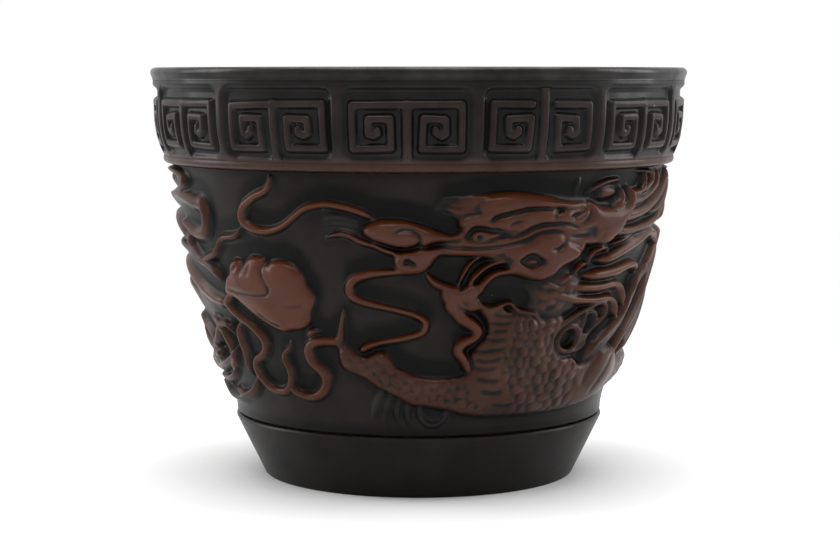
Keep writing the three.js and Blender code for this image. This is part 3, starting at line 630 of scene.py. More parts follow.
def dragon_body(sheet):
    outline = [
        (-20.6, 20.6), (-19, 21.4), (-17.6, 21.3), (-16, 20.7), (-13.6, 20.0), (-12, 20.3), (-10, 20.7),
        (-8, 20.6), (-6.8, 19.6), (-5.4, 18.6), (-3, 18.2), (0, 17.4), (4, 17.2), (8, 17.2),
        (11.4, 17.6), (12.8, 18.6), (12.4, 20.2), (14.6, 21.8), (16.2, 23.2), (15.6, 24.8),
        (13.6, 26.2), (15, 27.0), (18, 26.8), (21, 26.8), (23, 25.9), (27, 25.5), (30, 24.8),
        (34, 24.8), (37.4, 24.6), (37, 23), (35.4, 21.6), (36.4, 20.1), (39.4, 19.3), (44, 19.0),
        (47, 18.0), (50, 18.2), (54, 19.4), (60, 19.8), (66, 18.4), (69, 16.4), (67, 13.8), (60, 12.2),
        (50, 11.4), (40, 11.2), (30, 11.2), (22, 11.3), (14, 11.6), (8, 12.4), (2, 13.0), (-2, 13.2),
        (-5, 14.0), (-8, 14.8), (-11.6, 15.8), (-13.6, 16.6), (-16, 17.2), (-19, 17.8), (-20.4, 18.8),
    ]
    height = plate(sheet, outline, 0.9, edge=1.1, dome=0.45)
    neck = [
        (25, 29.6), (29, 30.2), (34, 30.8), (38, 30.6), (41, 29.4), (42.4, 27.6), (42, 25.8),
        (38, 24.6), (33, 24.0), (27, 25), (25.6, 27.4),
    ]
    height = smooth_max(height, plate(sheet, neck, 0.55, edge=1.6, dome=0.25), blend=0.3)
    haunch = [
        (50, 13.6), (50.4, 17), (53, 18.8), (58, 19.2), (63, 17.8), (66, 15.8), (62, 13.4), (55, 12.6),
    ]
    height = smooth_max(height, plate(sheet, haunch, 1.0, edge=1.8, dome=0.3), blend=0.5)
    spine = [
        (46, 28), (43.6, 24.6), (39.6, 21), (33, 17.8), (24, 15.4), (12, 14.5), (3, 15.0), (-4, 16.6),
        (-10, 18.2), (-16, 19.2), (-24, 20.4),
    ]
    throat = [
        (12, 27.6), (10.8, 17.4), (12.6, 15.6), (15.4, 13.0), (20, 12.0), (26, 12.2), (26.4, 13.8),
        (22.6, 16.4), (21.4, 19), (21.8, 22), (23.4, 24.4), (26, 26), (21, 27),
    ]
    on_throat = hollow(sheet, throat, depth=1.0, edge=1.0)
    scales = draw_scales(sheet, spine, pitch=1.6, relief=0.62)
    bare = along_side(sheet, 42, 49)
    cover = smoothstep(0.5, 1.0, height)
    height = height + cover * (1 - on_throat) * (1 - bare) * scales
    height = height + 0.3 * cover * np.maximum(on_throat, bare)
    height = height - draw_scutes(
        sheet,
        (
            [(17, 25.6), (20, 25.3), (23, 25.3)],
            [(16.4, 24.5), (19, 24.3), (22.4, 24.4)],
            [(16.8, 23.4), (19, 23.3), (21.6, 23.4)],
            [(15.2, 22.5), (18, 22.1), (21.2, 22.2)],
            [(13.2, 21.0), (16, 20.6), (18.6, 20.8), (21, 20.9)],
            [(13.4, 19.6), (17, 19.3), (20.6, 19.6)],
            [(13.4, 18.5), (16.4, 18.2), (20, 18.4)],
            [(14.6, 17.0), (18, 16.6), (21, 16.5)],
            [(15.6, 15.2), (19, 14.9), (22.4, 15.0)],
            [(19.4, 13.3), (23, 13.0), (26, 13.2)],
        ),
        width=0.5,
        depth=0.42,
    )
    for line, width, depth in (
        ([(48.5, 14.6), (51, 17), (55, 19)], 1.0, 0.25),
        ([(54, 13.2), (57.4, 15.6), (61, 18.4)], 1.0, 0.2),
        ([(57, 20), (61, 20.2), (65, 19.4)], 0.7, 0.3),
        ([(30.6, 26.0), (33.8, 26.2)], 0.7, 0.35),
        ([(28, 27.4), (30.4, 26.6)], 0.5, 0.25),
        ([(27, 29.2), (30, 28.5), (33, 28.4)], 0.5, 0.3),
        ([(31, 29.6), (33.6, 29.0), (36, 28.9)], 0.4, 0.25),
    ):
        height = height - groove(sheet, line, width, depth)
    for line, width in (
        ([(-9.8, 15.2), (-11.4, 13.4), (-12.8, 11.6)], [1.4, 0.9]),
        ([(-7.2, 14.8), (-9, 12.6), (-9.8, 10.6)], [1.4, 0.8]),
        ([(-5, 14.2), (-6.2, 12.2), (-5.4, 10.2)], [1.2, 0.7]),
        ([(-3, 13.6), (-3.2, 11.8), (-2.2, 10.3)], [1.2, 0.7]),
        ([(0.6, 13.4), (0.2, 12.1), (1.4, 11.0), (3.8, 10.5), (6.2, 10.9), (7.6, 11.8), (7.4, 13.0)],
         [0.9, 0.8]),
    ):
        height = smooth_max(height, ridge(sheet, line, width, 0.6), blend=0.4)
    spike = [(-20, 20.8), (-19.2, 22.8), (-18.4, 24.6), (-17.9, 26.4)]
    height = smooth_max(height, ridge(sheet, spike, [2.0, 1.3, 0.8, 0.4], 1.0), blend=0.3)
    boss = [(37.4, 17.6), (38.6, 18.1), (40, 17.7), (38.8, 17.1)]
    height = smooth_max(height, plate(sheet, boss, 1.5, edge=0.5), blend=0.2)
    sill = [
        (13.6, 27.8), (14.6, 26.7), (16.6, 26.25), (19, 26.7), (21, 27.0), (22.4, 26.5), (23.6, 25.9),
        (26, 25.6), (28.4, 25.2), (30.4, 24.2),
    ]
    height = smooth_max(height, ridge(sheet, sill, [0.7, 0.7, 0.6], 1.6), blend=0.2)
    height = height - groove(sheet, [(20.8, 26.25), (21.2, 26.25)], width=0.8, depth=0.9, closed=True)
    jaw_hollow = [
        (14.4, 28.6), (16, 29.9), (18.6, 30.4), (21.6, 30.1), (24.4, 29), (26.6, 27.6), (26, 26.6),
        (22.6, 27.2), (17, 27.0),
    ]
    return height - hollow(sheet, jaw_hollow, depth=1.9, edge=0.45)


def body_coil(sheet):
    """The body on the cup's side, which narrows to the tail and its hairs."""
    main = [(62, 15.4), (70, 15.6), (78, 15.7), (88, 15.8), (98, 16.0), (108, 17.2), (114, 18.6)]
    height = ridge(sheet, main, [7.0, 6.2, 5.2, 4.2, 2.8, 1.6], 1.25, fullness=0.8)
    cover = smoothstep(0.4, 1.0, height) * along_side(sheet, 66, 74)
    height = height + cover * draw_scales(sheet, main, pitch=1.45, relief=0.3)
    for line, width in (
        ([(102, 17), (108, 18.6), (114, 20.4), (119, 22.3), (123, 22.6), (126, 21.4)], [1.4, 1.6, 1.1]),
        ([(102, 15.6), (110, 16.3), (117, 17.4), (122, 18.5), (124.4, 19.6)], [1.4, 1.4, 0.8]),
        ([(100, 14.4), (108, 14.2), (115, 15), (120, 16.4)], [1.4, 1.3, 0.7]),
        ([(98, 13.8), (106, 12), (114, 11.8), (120, 12.5), (127, 14), (130, 15.4)],
         [1.2, 1.5, 1.3, 0.9]),
        ([(90, 17), (96, 18.6), (102, 20.6), (104, 22.4)], [1.6, 1.4, 0.7]),
    ):
        height = smooth_max(height, ridge(sheet, line, width, 1.15), blend=0.25)
    return height


def flame_strand(sheet):
    """The flames that curl back on themselves at the group's left end."""
    height = sheet.empty(OUTSIDE)
    for line, width in (
        ([(-43.4, 36.3), (-44.8, 35.3), (-47, 34.9), (-50, 34.7), (-51.8, 34.2), (-53, 33.3),
         (-55, 32.4), (-58, 31.8), (-62, 31.4)], [1.0, 1.2, 1.2, 1.4, 1.5]),
        ([(-54.4, 28.8), (-56.6, 29.8), (-60, 30.7), (-64, 31.2), (-68, 32.6), (-70, 34), (-78, 35.4),
         (-92, 37)], [1.8, 2.0, 2.0, 1.8]),
        ([(-94, 38.6), (-84, 39.2), (-76, 39.8), (-68, 39.6), (-62, 39.0), (-58.4, 38.9), (-56.8, 37.8),
         (-57, 36.2), (-59, 35.0), (-63, 34.7), (-67, 35.3), (-73, 36.4)],
         [1.4, 1.8, 2.2, 2.6, 2.2, 1.5]),
        ([(-92, 43), (-82, 43.2), (-73, 43), (-67.8, 42.4), (-66, 41.6), (-68.4, 40.8), (-70, 39.8)],
         [1.4, 1.8, 1.4]),
    ):
        height = smooth_max(height, ridge(sheet, line, width, 1.1, fullness=1.0), blend=0.35)
    return height


def cloud(sheet):
    outline = [
        (-53.4, 27.0), (-52.6, 28.4), (-51.2, 29.7), (-49.8, 30.2), (-49.2, 31.3), (-47.8, 31.9),
        (-45.6, 31.9), (-44.4, 31.4), (-43.4, 31.9), (-41.6, 32.5), (-39.4, 32.6), (-37.6, 32.4),
        (-36.6, 31.7), (-35.2, 32.1), (-32.6, 32.2), (-30, 31.9), (-28.4, 31.2), (-27.2, 30.3),
        (-26.6, 29.2), (-25.4, 28.2), (-24.5, 27.4), (-24.9, 26.5), (-25.8, 25.6), (-26.4, 24.4),
        (-27.6, 23.6), (-29.6, 23.1), (-32, 22.95), (-35, 22.6), (-38, 22.95), (-40.6, 23.6),
        (-43, 24.3), (-46, 25.3), (-49, 26.3), (-51.4, 26.6),
    ]
    height = plate(sheet, outline, 1.25, edge=1.3, dome=0.5)
    for line, width, depth in (
        ([(-46.8, 30.2), (-46.2, 31.0), (-45.0, 31.6)], 0.5, 0.3),
        ([(-44.6, 29.9), (-44.6, 30.8), (-44.0, 31.7)], 0.55, 0.35),
        ([(-42.0, 29.8), (-41.6, 30.8), (-40.8, 31.7)], 0.5, 0.2),
        ([(-36.8, 32.1), (-37.8, 31.2), (-37.7, 30.2), (-36.7, 29.2), (-35.9, 28.4), (-36.2, 27.8),
         (-37.6, 27.5), (-41, 27.4), (-46, 27.6), (-50, 27.8)], 0.35, 0.35),
        ([(-41.2, 25.2), (-39.8, 24.3), (-37.4, 23.6), (-34.4, 23.3)], 0.6, 0.5),
        ([(-32, 26.2), (-29, 26.35), (-26.2, 26.5)], 0.2, 0.35),
        ([(-28.2, 24.7), (-26.6, 24.9)], 0.2, 0.2),
        ([(-34.0, 31.6), (-33.8, 31.6)], 0.45, 0.4),
    ):
        height = height - groove(sheet, line, width, depth)
    return height


def cloud_tail_upper(sheet):
    height = sheet.empty(OUTSIDE)
    for line, width in (
        ([(-50.6, 27.0), (-53, 26.4), (-54, 25.6), (-52.4, 24.7), (-49.4, 23.8), (-46, 22.9),
         (-43.6, 21.9), (-42.4, 20.8), (-43, 19.8), (-45.2, 18.9), (-47.8, 18.2), (-49, 17),
         (-48.2, 15.7), (-45.8, 14.6), (-42.6, 14.1), (-39.4, 14.3), (-37.2, 15.2), (-36.0, 16.5),
         (-36.2, 17.8), (-36.9, 18.8), (-36, 19.8), (-34.4, 20.4), (-33.6, 21.4)],
         [1.5, 1.6, 1.6, 1.6, 1.5, 1.6, 1.4, 1.4, 0.8]),
        ([(-49.4, 23.4), (-51.6, 22.2), (-52.2, 20.6), (-51.8, 18.9), (-52.4, 17.2), (-53, 15.8)],
         [1.3, 1.6, 1.5, 1.0]),
        ([(-92, 30.4), (-82, 29.4), (-74, 28.2), (-66, 26.8), (-60, 26), (-54, 25.6)],
         [2.0, 2.8, 2.6, 1.6]),
        ([(-66, 23.4), (-62, 22.4), (-60, 20.6), (-58.6, 19), (-59.6, 17.4), (-64, 16)],
         [1.2, 1.6, 1.8, 1.4]),
        ([(-66, 13.4), (-62, 12.6), (-57, 12.9), (-53, 13.8), (-50.6, 15.0), (-49.6, 16.2)],
         [1.4, 1.6, 1.4, 1.0]),
        ([(-82, 23), (-75, 21.4), (-70, 19.8), (-68.6, 18.2), (-71, 16.2), (-76, 14.8)],
         [1.2, 1.7, 1.8, 1.2]),
    ):
        height = smooth_max(height, ridge(sheet, line, width, 1.0, fullness=0.9), blend=0.35)
    return height


def cloud_tail_lower(sheet):
    points = [
        (-37.2, 15.2), (-35.6, 14.3), (-32, 13.8), (-28.6, 14.1), (-26, 15.1), (-24.9, 16.4),
        (-25.8, 17.6), (-28, 18.6), (-28.9, 19.9), (-27.8, 21.1), (-25, 21.7), (-21, 21.8),
        (-19.6, 22.4),
    ]
    height = ridge(sheet, points, [1.2, 1.4, 1.6, 1.8, 1.7, 1.5, 1.4], 1.05, tips=1.0)
    bud = [(-28.4, 22.2), (-26.8, 22.9), (-24.6, 23.1)]
    return smooth_max(height, ridge(sheet, bud, [1.6, 1.1], 0.9), blend=0.3)


# Each form, and how far its high places are rubbed through to red-brown
DRAWINGS = {
    dragon_head: 0.72,
    dragon_body: 0.56,
    lower_jaw: 0.7,
    beard: 0.85,
    upper_whisker: 0.95,
    lower_whisker: 0.9,
    mane_strand_1: 0.65,
    mane_strand_2: 0.7,
    mane_strand_3: 0.75,
    mane_strand_4: 0.85,
    mane_strand_5: 0.85,
    mane_strand_6: 0.85,
    mane_sweep: 0.5,
    loop_curl: 0.45,
    body_coil: 0.5,
    cloud: 1.0,
    cloud_tail_upper: 0.65,
    cloud_tail_lower: 0.7,
    flame_strand: 0.55,
}

# How many softening passes spread a field over a strand, over the seam of two forms, over a form and
# near by it, and how many more of them spread it well past the form
OVER_STRAND, OVER_SEAM, OVER_FORM, NEAR_FORM, MORE_PAST_FORM = 8, 12, 30, 75, 145


def half_turn_copy(sheet, field):
    """The same form of the other group, where the sheet reaches round into its part of the cup."""
    steps = round(math.pi / (sheet.angle[1] - sheet.angle[0]))
    copy = sheet.empty(OUTSIDE)
    copy[:, steps:] = field[:, :-steps]
    copy[:, :-steps] = np.maximum(copy[:, :-steps], field[:, steps:])
    return copy


def moved(field, rows, columns):
    """The field shifted up and to the right by whole grid steps."""
    return np.pad(field, ((rows, 0), (columns, 0)), mode="edge")[:-rows, :-columns]


def painted_shade_at_ends(z):
    """Painted shade over the foot's ledge and under the bead."""
    over_ledge = 0.95 * smoothstep(WALL_LOW + 2.2, WALL_LOW + 0.3, z)
    under_bead = 0.6 * smoothstep(WALL_HIGH - 1.2, WALL_HIGH - 0.2, z)
    return np.maximum(over_ledge, under_bead)


def painted_shade(sheet, relief_height, height):
    """Painted shade, how black a surface of some height is painted: above and right of each form, between
    forms and in their furrows."""
    rows_up, columns_right = 11, 3
    near_form = softened(relief_height, NEAR_FORM)
    above_form = moved(near_form, rows_up, columns_right)
    beside = smoothstep(0.03, 0.3, above_form) * smoothstep(0.3, 0.08, height)
    between = 0.8 * smoothstep(0.08, 0.5, softened(near_form, MORE_PAST_FORM) - height)
    furrows = 0.6 * smoothstep(0.05, 0.2, softened(height, OVER_STRAND) - height)
    ends = painted_shade_at_ends(sheet.z)[:, None] + sheet.empty(0)
    return np.maximum.reduce([beside, between, furrows, ends])


def rub_and_painted_light(sheet, forms, height):
    """How far the black is rubbed off on crests of high forms, with painted light that carries the
    red-brown a little further down their upper side, and painted shade that keeps it away low down near the
    foot.
    """
    own_wear = np.array([*DRAWINGS.values()] * 2)
    wear = softened(own_wear[forms.argmax(0)], OVER_SEAM)
    # Painted light: each form's upper side takes the height of the place a little below and left of it, so
    # the red-brown reaches further down that flank
    rows_up, columns_right = 4, 1
    lit_upper_side = np.maximum(height, moved(height, rows_up, columns_right))
    crest = smoothstep(-0.12, 0.05, lit_upper_side - softened(height, OVER_FORM))
    crest = crest * (0.25 + 0.75 * smoothstep(-0.09, 0.02, height - softened(height, OVER_STRAND)))
    worn = smoothstep(0.3, 0.85, lit_upper_side) * smoothstep(0.04, 0.25, height)
    # Painted shade: low down, near the foot's ledge, no red-brown shows
    never_below, fully_above = 10.6, 13.4
    clear_of_ledge_shade = smoothstep(never_below, fully_above, sheet.z)[:, None]
    return wear * worn * crest * clear_of_ledge_shade


def relief_sheet():
    """The whole relief: its grid, each form's height, the height over the ground and how rubbed it is."""
    rows = round((WALL_HIGH - WALL_LOW) / GRID_MM)
    columns = round((GROUP_END - GROUP_START) / GRID_DEGREES)
    sheet = Sheet(GROUP_START, GROUP_END, columns, WALL_LOW, WALL_HIGH, rows, ground_radius)
    own = [softened(draw(sheet)) for draw in DRAWINGS]
    forms = np.stack([*own, *(half_turn_copy(sheet, field) for field in own)])
    total = forms[0]
    for field in forms[1:]:
        total = smooth_max(total, field, blend=0.3)
    height = softened(smooth_max(total, np.zeros_like(total), blend=0.6), 2)
    low_margin, high_margin = 0.8, 0.6
    fade = smoothstep(0, low_margin, sheet.z - WALL_LOW) * smoothstep(0, high_margin, WALL_HIGH - sheet.z)
    height = height * fade[:, None]
    return sheet, forms, height, rub_and_painted_light(sheet, forms, height)


# Meshes
def new_piece(name, mesh):
    """A smooth shaded object for a mesh."""
    mesh.validate()
    mesh.shade_smooth()
    piece = bpy.data.objects.new(name, mesh)
    bpy.context.scene.collection.objects.link(piece)
    return piece


def set_attribute(piece, name, values):
    layer = piece.data.attributes.new(name, "FLOAT", "POINT")
    layer.data.foreach_set("value", values.astype(np.float32))


def mesh_piece(name, points, faces, normals=None, attributes=None):
    """A new piece from points in millimetres and four-sided faces, with values kept at its points."""
    mesh = bpy.data.meshes.new(name)
    mesh.vertices.add(len(points))
    mesh.vertices.foreach_set("co", (points * MM).astype(np.float32).ravel())
    mesh.loops.add(faces.size)
    mesh.loops.foreach_set("vertex_index", faces.astype(np.int32).ravel())
    mesh.polygons.add(len(faces))
    mesh.polygons.foreach_set("loop_start", np.arange(0, faces.size, faces.shape[1], dtype=np.int32))
    mesh.update(calc_edges=True)
    piece = new_piece(name, mesh)
    for key, values in (attributes or {}).items():
        set_attribute(piece, key, values)
    if normals is not None:
        mesh.normals_split_custom_set_from_vertices(normals.astype(np.float32))
    return piece


def on_wall(sheet, height, turn=0.0):
    """Points on the cup's side at each grid place, a height above the ground."""
    angle = sheet.angle[None, :] + turn
    radius = sheet.radius[:, None] + height
    x, y = radius * np.sin(angle), -radius * np.cos(angle)
    return np.stack([x, y, np.broadcast_to(sheet.z[:, None], x.shape)], -1)


def grid_normals(points):
    across = np.gradient(points, axis=1)
    up = np.gradient(points, axis=0)
    normal = np.cross(across, up)
    return normal / np.maximum(np.linalg.norm(normal, axis=-1, keepdims=True), TINY)


def without_corner_contacts(keep):
    """Fills cells until no two kept cells touch only at a corner."""
    while True:
        a, b = keep[:-1, :-1], keep[1:, 1:]
        c, d = keep[1:, :-1], keep[:-1, 1:]
        bad = (a & b & ~c & ~d) | (c & d & ~a & ~b)
        if not bad.any():
            return keep
        keep[:-1, :-1] |= bad
        keep[1:, :-1] |= bad
        keep[:-1, 1:] |= bad
        keep[1:, 1:] |= bad


def laid_piece(name, keep, front, back, normals, attributes):
    """A closed piece from the kept cells of a grid: its front, its back and the walls between them."""
    rows, columns = front.shape[:2]
    index = np.arange(rows * columns).reshape(rows, columns)
    offset = rows * columns
    a, b, c, d = index[:-1, :-1], index[:-1, 1:], index[1:, 1:], index[1:, :-1]
    fronts = np.stack([a[keep], b[keep], c[keep], d[keep]], 1)
    backs = fronts[:, ::-1] + offset
    padded = np.pad(keep, 1)
    walls = []
    for neighbour, first, second in (
        (padded[:-2, 1:-1], a, b),
        (padded[1:-1, 2:], b, c),
        (padded[2:, 1:-1], c, d),
        (padded[1:-1, :-2], d, a),
    ):
        rim = keep & ~neighbour
        p, q = first[rim], second[rim]
        walls.append(np.stack([q, p, p + offset, q + offset], 1))
    faces = np.vstack([fronts, backs, *walls])
    used, faces = np.unique(faces, return_inverse=True)
    faces = faces.reshape(-1, 4)
    points = np.vstack([front.reshape(-1, 3), back.reshape(-1, 3)])[used]
    facing = np.vstack([normals.reshape(-1, 3), -normals.reshape(-1, 3)])[used]
    values = {key: np.tile(field.ravel(), 2)[used] for key, field in attributes.items()}
    return mesh_piece(name, points, faces, facing, values)


# How many segments the lining, lip, bead and foot have round the cup
TURNED_SEGMENTS = 300


def turned_piece(name, profile, segments, sharp):
    """A turned piece from a profile that runs up the outside and down the inside. The profile closes on
    itself, or starts and ends on the axis. Edges that turn by more than sharp, in degrees, stay crisp."""
    profile = np.array(profile, float)
    on_axis = profile[:, 0] < 1e-6
    outline, ends = profile[~on_axis], profile[on_axis]
    angle = np.linspace(0, 2 * np.pi, segments, endpoint=False)
    points = [
        np.stack([r * np.sin(angle), -r * np.cos(angle), np.full(segments, z)], 1) for r, z in outline
    ]
    count = len(outline)
    index = np.arange(count * segments).reshape(count, segments)
    follow = np.roll(index, -1, 1)
    faces = []
    for i in range(count - 1 if len(ends) else count):
        j = (i + 1) % count
        faces += np.stack([index[i], follow[i], follow[j], index[j]], 1).tolist()
    if len(ends):
        points.append([[0, 0, ends[0][1]], [0, 0, ends[-1][1]]])
        first, last = count * segments, count * segments + 1
        faces += [(first, q, p) for p, q in zip(index[0].tolist(), follow[0].tolist())]
        faces += [(last, p, q) for p, q in zip(index[-1].tolist(), follow[-1].tolist())]
    mesh = bpy.data.meshes.new(name)
    mesh.from_pydata((np.vstack(points) * MM).tolist(), [], faces)
    piece = new_piece(name, mesh)
    keep_sharp(piece, sharp)
    return piece


def fillet(centre, size, start, end, steps):
    """A rounded corner of a profile, as points on an arc between two angles in degrees."""
    turn = np.radians(np.linspace(start, end, steps + 1))
    return [(centre[0] + size * math.cos(t), centre[1] + size * math.sin(t)) for t in turn]


def keep_sharp(piece, degrees):
    piece.data.set_sharp_from_angle(angle=math.radians(degrees))


# Shader groups
def new_group(name, inputs, outputs):
    tree = bpy.data.node_groups.new(name, "ShaderNodeTree")
    for label, kind in inputs:
        tree.interface.new_socket(label, in_out="INPUT", socket_type=kind)
    for label, kind in outputs:
        tree.interface.new_socket(label, in_out="OUTPUT", socket_type=kind)
    return tree, tree.nodes.new("NodeGroupInput").outputs, tree.nodes.new("NodeGroupOutput").inputs


def feed(tree, socket, value):
    """Sets an input to a value, or links another node's output to it."""
    if isinstance(value, bpy.types.NodeSocket):
        tree.links.new(value, socket)
    else:
        socket.default_value = value


def put(tree, kind, settings=None, first=(), **named):
    """A new node with its settings, and with its first inputs in order and others by name."""
    node = tree.nodes.new(kind)
    for key, value in (settings or {}).items():
        setattr(node, key, value)
    for socket, value in zip(node.inputs, first):
        feed(tree, socket, value)
    for key, value in named.items():
        feed(tree, node.inputs[key.replace("_", " ")], value)
    return node


def math_node(tree, operation, a, b):
    return put(tree, "ShaderNodeMath", {"operation": operation}, (a, b)).outputs[0]


def mix_colour(tree, factor, a, b):
    """A mix of two colours. A Mix node's factor and its two colours are its inputs 0, 6 and 7."""
    node = put(tree, "ShaderNodeMix", {"data_type": "RGBA"}, (factor,))
    feed(tree, node.inputs[6], a)
    feed(tree, node.inputs[7], b)
    return node.outputs[2]


def ramp(tree, value, low, high):
    """A smooth step from 0 at low to 1 at high."""
    settings = {"interpolation_type": "SMOOTHSTEP"}
    return put(tree, "ShaderNodeMapRange", settings, Value=value, From_Min=low, From_Max=high).outputs[0]


def object_place(tree):
    return put(tree, "ShaderNodeTexCoord").outputs["Object"]


def noise(tree, place, scale, detail, roughness):
    """Noise with a scale given as waves to the metre."""
    return put(
        tree, "ShaderNodeTexNoise", Vector=place, Scale=scale, Detail=detail, Roughness=roughness
    ).outputs[0]


# The black that painted shade turns the lacquer to
PAINTED_SHADE_BLACK = (0.0025, 0.0022, 0.002, 1)
DUST_GREY = (0.42, 0.41, 0.4, 1)


def lacquer_group():
    """Lacquer rubbed through to red-brown on its high places, with painted shade that makes it black and
    dull in its hollows and wherever its Shade input says.
    """
    tree, given, result = new_group(
        "rubbed_lacquer",
        [
            ("Ground", "NodeSocketColor"),
            ("Rubbed", "NodeSocketColor"),
            ("Rub", "NodeSocketFloat"),
            ("Shade", "NodeSocketFloat"),
            ("Cloudiness", "NodeSocketFloat"),
            ("Gloss", "NodeSocketFloat"),
        ],
        [
            ("Color", "NodeSocketColor"),
            ("Roughness", "NodeSocketFloat"),
            ("Coat Weight", "NodeSocketFloat"),
            ("Height", "NodeSocketFloat"),
        ],
    )
    place = object_place(tree)
    cloudy = noise(tree, place, 190.0, 5.0, 0.62)
    fine = noise(tree, place, 900.0, 3.0, 0.6)
    grain = noise(tree, place, 3200.0, 2.0, 0.5)

    # The rubbed share, uneven in clouds and in fine speckle
    uneven = math_node(tree, "MULTIPLY", math_node(tree, "SUBTRACT", cloudy, 0.5), given["Cloudiness"])
    speckle = math_node(tree, "MULTIPLY", math_node(tree, "SUBTRACT", fine, 0.5), 0.35)
    share = math_node(tree, "ADD", given["Rub"], math_node(tree, "ADD", uneven, speckle))
    worn = math_node(tree, "MULTIPLY", ramp(tree, share, 0.05, 1.0), ramp(tree, given["Rub"], 0.02, 0.2))

    # Painted shade: faces that look upward are painted a deeper red-brown, for the white sheen that they
    # don't catch
    facing = put(tree, "ShaderNodeNewGeometry").outputs["Normal"]
    upward = ramp(tree, put(tree, "ShaderNodeSeparateXYZ", Vector=facing).outputs["Z"], 0.1, 0.6)
    painted_deeper_top = put(
        tree, "ShaderNodeHueSaturation", Saturation=1.25, Value=0.85, Color=given["Rubbed"]
    ).outputs["Color"]
    rubbed = mix_colour(tree, upward, given["Rubbed"], painted_deeper_top)
    colour = mix_colour(tree, worn, given["Ground"], rubbed)
    # Painted shade: the colour turns to black where the Shade input is high
    colour = mix_colour(tree, given["Shade"], colour, PAINTED_SHADE_BLACK)

    # Satin from 0.3 up, with less of the clear coat in patches, and less in hollows and wherever else shade
    # is painted, so that the painted shade shows no sheen
    rough = math_node(tree, "ADD", 0.3, math_node(tree, "MULTIPLY", fine, 0.16))
    rough = math_node(tree, "ADD", rough, math_node(tree, "MULTIPLY", cloudy, 0.08))
    clear = math_node(tree, "SUBTRACT", 1.0, math_node(tree, "MULTIPLY", given["Shade"], 0.8))
    gloss = math_node(tree, "MULTIPLY", given["Gloss"], ramp(tree, cloudy, 0.1, 0.8))
    coat = math_node(tree, "MULTIPLY", gloss, clear)
    bump = math_node(
        tree, "ADD", math_node(tree, "MULTIPLY", fine, 0.6), math_node(tree, "MULTIPLY", grain, 0.25)
    )
    feed(tree, result["Color"], colour)
    feed(tree, result["Roughness"], rough)
    feed(tree, result["Coat Weight"], coat)
    feed(tree, result["Height"], bump)
    return tree


def dust_group():
    """Pale specks of dust: a small dot in few of the cells of a Voronoi pattern."""
    tree, given, result = new_group(
        "dust",
        [("Color", "NodeSocketColor"), ("Amount", "NodeSocketFloat")],
        [("Color", "NodeSocketColor")],
    )
    cells = put(tree, "ShaderNodeTexVoronoi", Vector=object_place(tree), Scale=420.0, Randomness=1.0)
    chance = put(tree, "ShaderNodeSeparateColor", Color=cells.outputs["Color"]).outputs[0]
    few = math_node(tree, "GREATER_THAN", chance, 0.965)
    dot = ramp(tree, cells.outputs["Distance"], 0.085, 0.02)
    mask = math_node(tree, "MULTIPLY", math_node(tree, "MULTIPLY", few, dot), given["Amount"])
    feed(tree, result["Color"], mix_colour(tree, mask, given["Color"], DUST_GREY))
    return tree


LACQUER_GROUP = lacquer_group()
DUST_GROUP = dust_group()


# Materials
SPECULAR = 0.08
COAT_ROUGHNESS = 0.18
CLOUDINESS = 0.4
DUST_AMOUNT = 0.6
BUMP_STRENGTH = 0.35
BUMP_MM = 0.02


def lacquer(name, rubbed, rub, gloss=0.26):
    """Black satin lacquer and the colour under it. Rub is a number, or the mesh attribute that holds it."""
    material = bpy.data.materials.new(name)
    material.use_nodes = True
    tree = material.node_tree
    shader = tree.nodes["Principled BSDF"].inputs
    shader["Specular IOR Level"].default_value = SPECULAR
    shader["Coat Roughness"].default_value = COAT_ROUGHNESS
    if isinstance(rub, str):
        rub = put(tree, "ShaderNodeAttribute", {"attribute_name": rub}).outputs["Fac"]
    # Painted shade, read from the mesh's shade attribute; a mesh without one has none
    shade = put(tree, "ShaderNodeAttribute", {"attribute_name": "shade"}).outputs["Fac"]
    coat = put(
        tree, "ShaderNodeGroup", {"node_tree": LACQUER_GROUP}, Ground=BLACK, Rubbed=rubbed,
        Rub=rub, Shade=shade, Cloudiness=CLOUDINESS, Gloss=gloss,
    ).outputs
    dusty = put(
        tree, "ShaderNodeGroup", {"node_tree": DUST_GROUP}, Color=coat["Color"], Amount=DUST_AMOUNT
    )
    uneven = put(
        tree, "ShaderNodeBump", Strength=BUMP_STRENGTH, Distance=BUMP_MM * MM, Height=coat["Height"]
    ).outputs["Normal"]
    feed(tree, shader["Base Color"], dusty.outputs["Color"])
    feed(tree, shader["Roughness"], coat["Roughness"])
    feed(tree, shader["Coat Weight"], coat["Coat Weight"])
    feed(tree, shader["Normal"], uneven)
    feed(tree, shader["Coat Normal"], uneven)
    return material


BLACK = (0.0062, 0.0052, 0.0048, 1)
DARK_BROWN = (0.03, 0.018, 0.015, 1)
RED_BROWN = (0.074, 0.0235, 0.0120, 1)
black_lacquer = lacquer("black_lacquer", DARK_BROWN, 0.2)
lip_lacquer = lacquer("lip_lacquer", DARK_BROWN, 0.2, gloss=0.5)
wall_lacquer = lacquer("wall_lacquer", (0.020, 0.010, 0.007, 1), 0.35, gloss=0.17)
# The relief's rub attribute holds its wear together with painted light on the forms' upper sides
relief_lacquer = lacquer("relief_lacquer", RED_BROWN, "rub")
fret_lacquer = lacquer("fret_lacquer", (0.034, 0.019, 0.0145, 1), "rub")
bead_lacquer = lacquer("bead_lacquer", (0.046, 0.022, 0.0155, 1), 0.75)
foot_lacquer = lacquer("foot_lacquer", (0.016, 0.012, 0.010, 1), 0.3, gloss=0.16)


